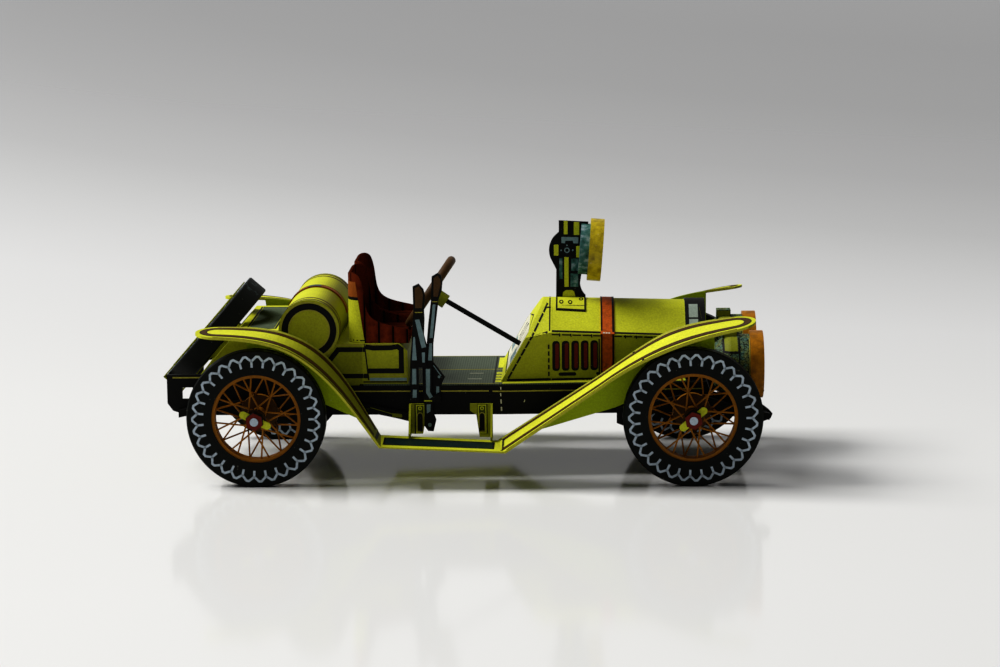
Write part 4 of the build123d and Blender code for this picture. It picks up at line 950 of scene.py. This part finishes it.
class CARDCAR_OT_cowl(bpy.types.Operator):
    """Print the outlines of the cowl and the panels of the dashboard"""

    bl_idname = "cardcar.cowl"
    bl_label = "Cowl print"

    def execute(self, context):
        black = context.scene.card_sizes.outline / MM
        for side, sign in SIDES.items():
            flank = on_part("cowl", side)
            shapes = (
                *dashes([(8.3, 25.2), (13.9, 35.0), (18.5, 43.0)], 0.5, 1.9, 0.25),
                *dashes([(13.4, 35.5), (18.9, 37.1)], black, 1.5, 0.5),
                *dashes([(18.7, 25.6), (18.7, 34.4)], black, 1.1, 0.55),
                stroke(8.0, 24.8, 19.2, 24.8, 0.55),
                stroke(17.6, 42.0, 19.2, 42.0, THIN),
                stroke(18.95, 37.2, 18.95, 43.0, FINE),
            )
            print_on(
                f"cowl_print_{side}",
                ("black_ink", flank, 0, *shapes),
                ("black_ink", on_part("cowl", "top"), 0, stroke(18.95, sign * 0.5, 18.95, sign * 8.5, FINE)),
                ("paper_edge", flank, 0, *dashes([(7.25, 24.6), (13.1, 35.0), (17.85, 43.3)], 0.3, 2.6, 0.5)),
            )
        back = on_part("dashboard", "back")
        dials = ring(0, 34.0, 2.2, 2.7), ring(6.5, 34.0, 1.5, 1.9), ring(0, 34.0, 0, 0.35, 12)
        print_on(
            "dashboard_print",
            ("paper_edge", back, 0, rounded(-15.0, 15.0, 27.0, 38.4, 1.2)),
            ("black_ink", back, 1, loop(-15.4, 15.4, 26.6, 38.8, black, 30), *dials),
            ("slate_ink", back, 1, box_area(-13.5, -4.5, 28.4, 31.2), box_area(4.5, 13.5, 28.4, 31.2)),
        )
        return {"FINISHED"}


class CARDCAR_OT_radiator(bpy.types.Operator):
    """Print the bands of the radiator shell"""

    bl_idname = "cardcar.radiator"
    bl_label = "Radiator print"

    def execute(self, context):
        bands = ((25.2, 35.4, None), (36.0, 39.0, 0.4), (39.4, 42.2, 0.3))
        bands = [box_area(54.8, 57.1, low, high, cell) for low, high, cell in bands]
        shell = [(-12.0, 25.2), (12.0, 25.2), (12.0, 35.2), (5.0, 41.4), (0, 42.5), (-5.0, 41.4), (-12.0, 35.2)]
        inner = [(-10.9, 26.3), (10.9, 26.3), (10.9, 34.8), (4.6, 40.3), (0, 41.3), (-4.6, 40.3), (-10.9, 34.8)]
        front = on_part("radiator", "front")
        print_on(
            "radiator_print",
            *(("pale_ink", on_part("radiator", side), 0, *bands) for side in SIDES),
            ("body_card", front, 0, line(shell, 1.3, True, 30)),
            ("black_ink", front, 1, line(inner, 0.4, True, 30)),
        )
        return {"FINISHED"}


# Where the seat box's back edge is, and the heights of the black bands along the body's sides.
BOX_BACK, BAND_HIGH, BAND_LOW = -28.57, 33.35, 26.5


class CARDCAR_OT_body(bpy.types.Operator):
    """Print the panels of the body sides, the rear deck and the fuel tank"""

    bl_idname = "cardcar.body"
    bl_label = "Body and tank print"

    def execute(self, context):
        panel = [(-27.9, 34.05), (-25.9, 33.75), (-21.5, 33.8), (-19.7, 34.1), (-18.8, 33.4)]
        panel += [(-18.8, 27.8), (-27.4, 27.8)]
        rim = [(-28.0, 34.8), (-25.8, 34.55), (-20.2, 34.8), (-18.7, 34.7), (-17.7, 33.4), (-17.7, 26.6), (-27.1, 26.6)]
        for side in SIDES:
            body, box = on_part("rear_body", side), on_part("seat_box", side)
            swept = [(-39.5, 27.4), (-37.3, 30.3), (-34.9, BAND_HIGH), (-28.63, BAND_HIGH)]
            shapes = (
                stroke(BOX_BACK, BAND_HIGH, -28.0, BAND_HIGH, 1.25),
                stroke(BOX_BACK, BAND_LOW, -27.3, BAND_LOW, 1.15),
                stroke(-28.15, 34.85, -27.2, 25.4, FINE),
                line(panel, 1.3),
                stroke(BOX_BACK, 24.95, -17.4, 24.95, FINE),
                stroke(-17.3, 24.6, -17.3, 33.2, THIN),
            )
            print_on(
                f"body_print_{side}",
                ("black_ink", body, 0, line(swept, 1.25), stroke(-38.5, BAND_LOW, -28.63, BAND_LOW, 1.15)),
                ("gold_ink", body, 0, line([(-38.4, 31.2), (-35.4, 34.5), (-28.63, 34.55)], HAIRLINE)),
                ("black_ink", box, 0, *shapes),
                ("slate_ink", box, 0, box_area(-26.9, -17.5, 25.25, 26.0)),
                ("gold_ink", box, 1, line(rim, HAIRLINE), stroke(BOX_BACK, 34.55, -28.1, 34.55, HAIRLINE)),
            )
        deck = on_part("rear_body", "top")
        print_on(
            "deck_print",
            ("deck_ink", deck, 0, box_area(-58.0, -51.5, -16.5, 16.5)),
            ("black_ink", deck, 0, loop(-58.4, -51.1, -16.9, 16.9, 0.5)),
            ("black_ink", on_part("rear_body", "back"), 0, loop(-17.6, 17.6, 28.6, 36.6, 0.9, 40)),
        )
        low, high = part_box("fuel_tank")
        centre, radius, reach = (low + high) / 2, (high.z - low.z) / 2, (high.y - low.y) / 2 / MM
        drum, buckle = on_drum(centre, radius), on_drum(centre, radius + 0.32 * MM)
        a, b = (centre.x - MID_X) / MM, centre.z / MM

        def band(y, width):
            return line([(turn, y) for turn in range(-125, 126, 5)], width, cell=6)

        jobs = []
        for side, sign in SIDES.items():
            end = on_part("fuel_tank", side)
            jobs += [
                ("brown_ink", drum, 0, *(band(sign * (reach - off), 1.1) for off in (1.9, 4.6))),
                ("black_ink", drum, 0, band(sign * (reach - 0.25), 0.4)),
                ("black_ink", end, 0, ring(a, b, 5.35, 6.95)),
                ("gold_ink", end, 0, ring(a, b, 5.1, 5.3), ring(a, b, 7.05, 7.3)),
            ]
        jobs.append(("black_ink", buckle, 0, band(-1.25, 0.25), band(1.25, 0.25)))
        jobs.append(("inset_ink", buckle, 1, box_area(-16, 8, -1.2, 1.2, 4.0)))
        print_on("tank_print", *jobs)
        return {"FINISHED"}


class CARDCAR_OT_floor(bpy.types.Operator):
    """Print the lines, ledges and yellow bars of the floor"""

    bl_idname = "cardcar.floor"
    bl_label = "Floor print"

    def execute(self, context):
        top = on_part("floor_board", "top")
        bars = [box_area(5.0, 6.9, y, y + 2.6) for y in (-17.6, -13.9, -10.2, -6.5)]
        jobs = [
            ("gold_ink", top, 0, stroke(-17.0, 0, 6.6, 0, BOLD)),
            ("paper_edge", top, 0, *(stroke(x, y, x + 3.6, y, THIN) for x, y in ((-2.0, -5.3), (-2.2, -13.0)))),
            ("bright_card", top, 0, *bars, box_area(5.2, 7.0, 2.4, 16.8)),
            ("black_ink", top, 0, stroke(4.6, -18.6, 4.6, 18.6, FINE)),
        ]
        ledge = [(7.0, 17.2), (19.3, 15.9), (53.6, 12.6), (53.6, 16.0), (6.8, 19.5)]
        for sign in SIDES.values():
            jobs.append(("gold_ink", top, 0, stroke(-17.0, sign * 19.25, 6.0, sign * 19.25, 0.4)))
            jobs.append(("body_card", top, 0, area(across(sign, ledge))))
        print_on("floor_print", *jobs)
        return {"FINISHED"}


class CARDCAR_OT_frame(bpy.types.Operator):
    """Print the gold lines, the worn seam and the spring clamps of the frame"""

    bl_idname = "cardcar.frame"
    bl_label = "Frame print"

    def execute(self, context):
        rubs = (
            (6.45, 23.6, 6.5, 23.0, 0.28),
            (6.4, 22.0, 6.5, 21.2, 0.26),
            (6.5, 20.4, 6.55, 19.3, 0.3),
            (6.6, 18.4, 6.65, 17.4, 0.32),
            (12.4, 19.6, 12.6, 20.2, 0.2),
            (27.6, 21.0, 27.9, 21.4, 0.25),
        )
        gold = line([(-77.4, 26.3), (-46.4, 26.3), (-40.2, 22.6), (3.4, 22.6)], 0.32)
        clamps = (
            box_area(-28.8, -26.9, 18.3, 19.8),
            area([(-21.2, 17.2), (-18.7, 16.9), (-18.7, 16.1), (-21.2, 16.2)]),
            box_area(-70.4, -68.2, 17.4, 18.8),
            stroke(-26.8, 18.7, -21.2, 17.0, 0.18),
        )
        for side in SIDES:
            rail, spring = on_part("frame", side), on_part("rear_springs", side)
            print_on(
                f"frame_print_{side}",
                ("gold_ink", rail, 0, gold, stroke(4.4, 22.5, 58.0, 22.3, 0.32)),
                ("rub_ink", rail, 0, *(stroke(*rub) for rub in rubs)),
                ("panel_ink", rail, 0, area([(73.0, 14.3), (73.2, 15.8), (74.2, 16.2), (74.6, 15.1)])),
            )
            print_on(f"spring_print_{side}", ("panel_ink", spring, 0, *clamps))
        return {"FINISHED"}


class CARDCAR_OT_search_lamp(bpy.types.Operator):
    """Print the search lamp's post and the plates that hold it on the hood"""

    bl_idname = "cardcar.search_lamp"
    bl_label = "Search lamp print"

    def execute(self, context):
        arch = [(22.0, 43.7), (22.2, 45.0), (23.0, 45.6), (24.8, 45.6), (25.4, 45.0), (25.7, 43.7)]
        saddle = [(22.0, 59.4), (26.4, 59.3), (26.3, 57.7), (25.1, 57.7)]
        saddle += [(24.9, 58.4), (23.0, 58.4), (22.9, 57.7), (22.0, 57.8)]
        blocks = (
            box_area(22.6, 23.6, 60.1, 63.6),
            box_area(25.2, 26.6, 59.9, 63.3),
            rounded(20.0, 21.2, 54.5, 57.4, 0.2),
            rounded(25.8, 27.1, 54.0, 57.0, 0.2),
            box_area(22.7, 23.8, 46.3, 54.1),
        )
        teal = (
            box_area(21.4, 22.2, 48.4, 53.8),
            box_area(24.5, 26.3, 50.5, 53.7),
            box_area(24.3, 26.3, 46.3, 49.8),
            box_area(27.5, 28.4, 53.0, 60.2),
        )
        bolts = [ring(23.4 + a, 55.9 + b, 0, 0.22, 8) for a, b in ((0, 1.3), (1.5, 0), (-1.5, 0))]
        jobs = []
        for side in SIDES:
            post = on_part("search_lamp_bracket", side)
            jobs += [
                ("patch_ink", post, 0, *blocks, area(arch)),
                ("black_ink", post, 1, line(arch, THIN)),
                ("slate_ink", post, 0, area(saddle), *bolts, ring(23.4, 55.9, 0.45, 0.7, 20)),
                ("teal_print", post, 0, *teal),
            ]
        plate = on_part("search_lamp_bracket", "top")
        edge = [(20.75, 0.7), (20.75, 7.7), (28.0, 7.7), (28.0, 0.7)]
        points, faces = ring(0, 0, 0.28, 0.58, 16)
        for sign in SIDES.values():
            jobs.append(("patch_ink", plate, 0, box_area(20.7, 28.0, sign * 0.7, sign * 7.7, 1.0)))
            jobs.append(("black_ink", plate, 1, line(across(sign, edge), 0.35)))
            # The bolts are drawn long so that they look round on the slope of the hood.
            for x, y in ((21.9, 4.6), (24.2, 4.7), (27.0, 2.4)):
                bolt = across(sign, [(x + a, y + 2.1 * b) for a, b in points])
                jobs.append(("black_ink", plate, 1, (bolt, faces)))
        print_on("search_lamp_print", *jobs)
        return {"FINISHED"}


def lens_print(name, node, y, radius, glow, edge):
    """Print a lamp's glass, the pale ring in it and its black edge."""
    glass, z = on_part(node, "front"), middle_of(node).z / MM
    print_on(
        name,
        ("slate_ink", glass, 0, ring(y, z, 0, radius)),
        ("paper_edge", glass, 1, ring(y, z, *glow)),
        ("black_ink", glass, 1, ring(y, z, *edge)),
    )


class CARDCAR_OT_headlamps(bpy.types.Operator):
    """Print the blocks and bands of the headlamps and the faces of the lenses"""

    bl_idname = "cardcar.headlamps"
    bl_label = "Headlamp print"

    def execute(self, context):
        lines = line([(63.1, 36.2), (63.1, 32.6), (67.0, 32.6), (67.0, 36.2)], BOLD, cell=0.5)
        blocks = box_area(63.4, 66.6, 32.9, 35.9, 0.5), box_area(63.2, 66.5, 36.1, 37.5, 0.5)
        for name in SIDES:
            jobs = []
            for side in SIDES:
                drum = on_part(f"headlamp_{name}", side)
                jobs += [
                    ("panel_ink", drum, 2, *blocks),
                    ("black_ink", drum, 1, lines, stroke(67.0, 24.0, 67.0, 32.6, THIN, cell=0.5)),
                    ("gold_ink", drum, 1, stroke(69.6, 23.0, 69.6, 35.6, 0.2, cell=0.5)),
                ]
            print_on(f"headlamp_{name}_print", *jobs)
            rim = f"headlamp_rim_{name}"
            lens_print(f"{rim}_print", rim, middle_of(rim).y / MM, 7.4, (2.2, 3.4), (7.0, 7.5))
        lens_print("search_lens_print", "search_lamp_rim", 0.0, 6.9, (2.0, 3.1), (6.5, 7.0))
        return {"FINISHED"}


class CARDCAR_OT_hangers(bpy.types.Operator):
    """Print the slots, bolts and folded edges of the running board hangers"""

    bl_idname = "cardcar.hangers"
    bl_label = "Hanger print"

    def execute(self, context):
        foot, head = 11.6, 19.3
        for side in SIDES:
            plate = on_part("running_board_hangers", side)
            jobs = []
            for fold, front, run in ((-16.9, -12.8, 1), (4.4, 0.3, -1)):
                edge, front = fold + run * 1.5, front - run * 0.12
                low, high = min(edge, front), max(edge, front)
                mid = (low + high) / 2
                arch = [(mid + 0.75 * math.cos(t), 16.2 + 0.9 * math.sin(t)) for t in (0, 0.6, 1.2, 1.9, 2.5, math.pi)]
                slot = [(mid + 0.75, 12.2)] + arch + [(mid - 0.75, 12.2)]
                border = loop(low + 0.3, high - 0.25, foot + 0.2, head - 0.3, 0.25)
                jobs += [
                    ("olive_ink", plate, 0, box_area(low, high, foot, head, 1.0)),
                    ("black_ink", plate, 1, stroke(edge, foot, edge, head, THIN), area(slot)),
                    ("gold_ink", plate, 2, line(slot, HAIRLINE, closed=True)),
                    ("patch_ink", plate, 1, border, ring(mid, 18.2, 0.25, 0.5, 14)),
                ]
            print_on(f"hanger_print_{side}", *jobs)
        return {"FINISHED"}


class CARDCAR_OT_levers(bpy.types.Operator):
    """Print the pale panels, collars and wooden handles of the hand levers and their quadrant"""

    bl_idname = "cardcar.levers"
    bl_label = "Lever print"

    def execute(self, context):
        gear, brake, quadrant = (on_part(name, "right") for name in ("gear_lever", "brake_lever", "lever_quadrant"))
        gear_grip = [(-10.3, 47.2), (-10.2, 51.9), (-9.2, 52.6), (-8.5, 51.6), (-8.4, 50.4), (-9.2, 47.2)]
        brake_grip = [(-14.9, 44.4), (-15.0, 49.5), (-13.9, 50.0), (-13.1, 48.8), (-12.9, 47.6), (-13.2, 44.4)]
        gear_panels = (
            [(-10.5, 45.2), (-9.8, 45.2), (-10.6, 36.6), (-11.4, 36.6)],
            [(-11.5, 35.2), (-10.8, 35.2), (-10.9, 30.8), (-11.9, 30.8)],
            [(-12.5, 28.6), (-11.4, 28.6), (-11.5, 22.6), (-10.8, 21.4), (-11.6, 20.9), (-12.5, 22.4)],
            [(-12.4, 19.4), (-11.4, 19.4), (-11.5, 17.6), (-12.4, 17.0)],
        )
        brake_panels = (
            [(-15.0, 41.4), (-13.9, 41.5), (-12.9, 37.5), (-12.3, 34.4), (-13.4, 34.1), (-14.2, 37.5)],
            [(-13.4, 33.0), (-12.6, 33.0), (-12.7, 30.4), (-13.3, 30.4)],
            [(-15.5, 37.0), (-15.1, 37.0), (-14.7, 31.0), (-15.9, 31.0)],
            [(-15.9, 28.8), (-14.9, 28.8), (-14.9, 24.8), (-16.0, 24.8)],
            [(-15.8, 23.4), (-14.8, 23.4), (-14.9, 21.3), (-15.9, 21.3)],
        )
        notch = area([(-9.9, 23.9), (-9.2, 23.9), (-9.2, 22.4), (-10.0, 21.9)])
        print_on(
            "lever_marks",
            ("wood_print", gear, 0, area(gear_grip)),
            ("wood_print", brake, 0, area(brake_grip)),
            ("gold_ink", gear, 0, stroke(-10.6, 45.9, -9.3, 45.9, 0.2)),
            ("gold_ink", brake, 0, stroke(-15.0, 43.3, -13.1, 43.3, HAIRLINE)),
            ("slate_ink", gear, 0, *map(area, gear_panels), rounded(-12.1, -11.2, 13.6, 14.6, 0.4)),
            ("slate_ink", brake, 0, *map(area, brake_panels)),
            ("patch_ink", gear, 1, stroke(-13.1, 20.35, -11.0, 20.3, THIN)),
            ("slate_ink", quadrant, 0, ring(-9.2, 26.4, 0, 0.35, 12), notch, stroke(-10.6, 29.4, -8.7, 26.7, 0.2)),
        )
        return {"FINISHED"}


class CARDCAR_OT_seats(bpy.types.Operator):
    """Print the painted backs of the seats, which show a little on their sides"""

    bl_idname = "cardcar.seats"
    bl_label = "Seat print"

    def execute(self, context):
        base_front, base_height, lean = -28.1, 35.0, 0.14
        for name in ("driver", "passenger"):
            node = f"{name}_seat"
            low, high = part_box(node)
            back = on_part(node, "back")
            left, right = low.y / MM + 2.1, high.y / MM - 2.1
            start = (low.x - MID_X) / MM + 0.4
            jobs = []
            for ink, base, top in (("patch_ink", 35.0, 45.9), ("black_ink", 45.9, 46.7), ("rust_ink", 46.7, 50.6)):
                jobs.append((ink, back, 0, box_area(left, right, base, top, 0.8)))
                ends = [base_front - (z - base_height) * lean for z in (base, top)]
                wedge = area([(start, base), (ends[0], base), (ends[1], top), (start, top)], 0.4)
                jobs += [(ink, on_part(node, side), 0, wedge) for side in SIDES]
            foot = stroke(start, 35.6, base_front, 35.6, THIN)
            jobs += [("black_ink", on_part(node, side), 1, foot) for side in SIDES]
            print_on(f"{node}_print", *jobs)
        return {"FINISHED"}


TABLE_RADII = (0.3, 0.8, 1.8, 4.0, 16.0)  # the rings of the round table, in metres
TABLE_STEPS = 96
# Greys painted on the table from near the window to far from it, a painted falloff of the window's light.
TABLE_PAINTED_FALLOFF = ((0.1, 0.83), (0.18, 0.78), (0.24, 0.66), (0.3, 0.52), (0.4, 0.40), (0.6, 0.28), (0.96, 0.20))
NEAREST_BLUE = 0.82
# Each light's place, aim, size, power and tint.
LIGHTS = {
    "key_light": ((-2.0, 0.25, 2.1), (0, 0, 0.02), (1.3, 1.3), 66.0, (1.0, 0.99, 0.97)),
    "top_light": ((-1.25, 0.2, 2.45), (0, 0, 0), (1.4, 1.4), 31.0, (1.0, 1.0, 1.0)),
    "front_fill": ((0.2, -1.2, 0.7), (0, 0, 0.02), (0.8, 0.6), 0.2, (0.97, 0.98, 1.0)),
}
SKY_LIGHT = 0.05  # how much light the room gives from all sides
SKY_SHINE = 0.42  # how bright the room looks where a surface mirrors it
CAMERA_LENS, CAMERA_SENSOR, CAMERA_NEAR = 94.477, 36.0, 0.01
CAMERA_PLACE = (MID_X + 0.027, -0.6755, 0.153)
CAMERA_AIM = (-0.03139, 1.0, -0.17624)
CAMERA_ROLL = 0.00942  # the camera is held a little askew, in radians


def table_mesh():
    """A round table top of rings round the middle."""
    sheet = bmesh.new()
    middle = sheet.verts.new((0, 0, 0))
    turns = [math.tau * i / TABLE_STEPS for i in range(TABLE_STEPS)]
    rings = [[sheet.verts.new((*spot, 0)) for spot in circle(0, 0, radius, turns)] for radius in TABLE_RADII]
    for i in range(TABLE_STEPS):
        j = (i + 1) % TABLE_STEPS
        sheet.faces.new((middle, rings[0][i], rings[0][j]))
        for inner, outer in zip(rings, rings[1:]):
            sheet.faces.new((inner[i], outer[i], outer[j], inner[j]))
    table = bpy.data.meshes.new("table")
    sheet.to_mesh(table)
    sheet.free()
    return table


def table_material():
    """Glossy table with painted shade that darkens its colour away from the window, which is on the left."""
    gloss = bpy.data.materials.new("table_gloss")
    gloss.use_nodes = True
    tree = gloss.node_tree
    shader = tree.nodes["Principled BSDF"]
    # Painted shade: the table's colour falls off with distance and to the right, standing in for the window's light.
    behind = calc(tree, "MULTIPLY_ADD", coordinate(tree, 1), 0.4, 0.08)
    far = calc(tree, "MULTIPLY", behind, calc(tree, "ADD", coordinate(tree, 0), 1.0))
    painted_falloff = add(tree, "ShaderNodeValToRGB", {0: far})
    greys = painted_falloff.color_ramp.elements
    (greys[0].position, first), *between_greys, (greys[1].position, last) = TABLE_PAINTED_FALLOFF
    greys[0].color, greys[1].color = (first, first, NEAREST_BLUE, 1), (last, last, last, 1)
    for spot, grey in between_greys:
        greys.new(spot).color = (grey, grey, grey, 1)
    tree.links.new(painted_falloff.outputs[0], shader.inputs["Base Color"])
    shader.inputs["Roughness"].default_value = 0.1
    shader.inputs["Specular IOR Level"].default_value = 0.15
    return gloss


class CARDCAR_OT_stage(bpy.types.Operator):
    """Set up the pale table, the soft lights and the camera"""

    bl_idname = "cardcar.stage"
    bl_label = "Table, lights and camera"

    def execute(self, context):
        scene = context.scene
        table = table_mesh()
        table.materials.append(table_material())
        top = bpy.data.objects.new("table", table)
        scene.collection.objects.link(top)
        for name, (place, aim, size, power, tint) in LIGHTS.items():
            light = bpy.data.lights.new(name, "AREA")
            light.shape, light.size, light.size_y = "RECTANGLE", *size
            light.energy, light.color = power, tint
            holder = bpy.data.objects.new(name, light)
            holder.location = place
            holder.rotation_euler = (Vector(aim) - Vector(place)).to_track_quat("-Z", "Y").to_euler()
            scene.collection.objects.link(holder)
        world = bpy.data.worlds.new("studio")
        scene.world = world
        world.use_nodes = True
        sky = world.node_tree.nodes["Background"]
        shine = add(world.node_tree, "ShaderNodeLightPath").outputs["Is Glossy Ray"]
        glow = slide(world.node_tree, shine, 0.0, 1.0, SKY_LIGHT, SKY_SHINE)
        world.node_tree.links.new(glow, sky.inputs["Strength"])
        sky.inputs["Color"].default_value = (1.0, 1.0, 1.0, 1)
        camera = bpy.data.cameras.new("camera")
        camera.lens, camera.sensor_width, camera.clip_start = CAMERA_LENS, CAMERA_SENSOR, CAMERA_NEAR
        viewer = bpy.data.objects.new("camera", camera)
        viewer.location = CAMERA_PLACE
        level = Vector(CAMERA_AIM).to_track_quat("-Z", "Y")
        viewer.rotation_euler = (level @ Quaternion((0, 0, 1), -CAMERA_ROLL)).to_euler()
        scene.collection.objects.link(viewer)
        scene.camera = viewer
        scene.view_settings.view_transform = "Standard"
        scene.view_settings.look = "Medium High Contrast"
        return {"FINISHED"}


class CARDCAR_PT_panel(bpy.types.Panel):
    """Sizes, colours and steps of the card car"""

    bl_idname = "CARDCAR_PT_panel"
    bl_label = "Card car"
    bl_space_type = "VIEW_3D"
    bl_region_type = "UI"
    bl_category = "Card car"

    def draw(self, context):
        for group in (context.scene.card_sizes, context.scene.card_colours):
            for name in group.__annotations__:
                self.layout.prop(group, name)
        for step in STEPS:
            self.layout.operator(step.bl_idname)


STEPS = (
    CARDCAR_OT_stage,
    CARDCAR_OT_cards,
    CARDCAR_OT_tyres,
    CARDCAR_OT_wings,
    CARDCAR_OT_hood,
    CARDCAR_OT_cowl,
    CARDCAR_OT_radiator,
    CARDCAR_OT_body,
    CARDCAR_OT_floor,
    CARDCAR_OT_frame,
    CARDCAR_OT_search_lamp,
    CARDCAR_OT_headlamps,
    CARDCAR_OT_hangers,
    CARDCAR_OT_levers,
    CARDCAR_OT_seats,
)


def register():
    """Make the sizes, colours, steps and panel known to Blender."""
    for cls in (CardSizes, CardColours, *STEPS, CARDCAR_PT_panel):
        bpy.utils.register_class(cls)
    bpy.types.Scene.card_sizes = bpy.props.PointerProperty(type=CardSizes)
    bpy.types.Scene.card_colours = bpy.props.PointerProperty(type=CardColours)


def unregister():
    """Take them away again."""
    del bpy.types.Scene.card_colours
    del bpy.types.Scene.card_sizes
    for cls in reversed((CardSizes, CardColours, *STEPS, CARDCAR_PT_panel)):
        bpy.utils.unregister_class(cls)


def main():
    """Build the looks step by step."""
    register()
    for step in STEPS:
        area_name, call = step.bl_idname.split(".")
        getattr(getattr(bpy.ops, area_name), call)()


if __name__ == "__main__":
    main()
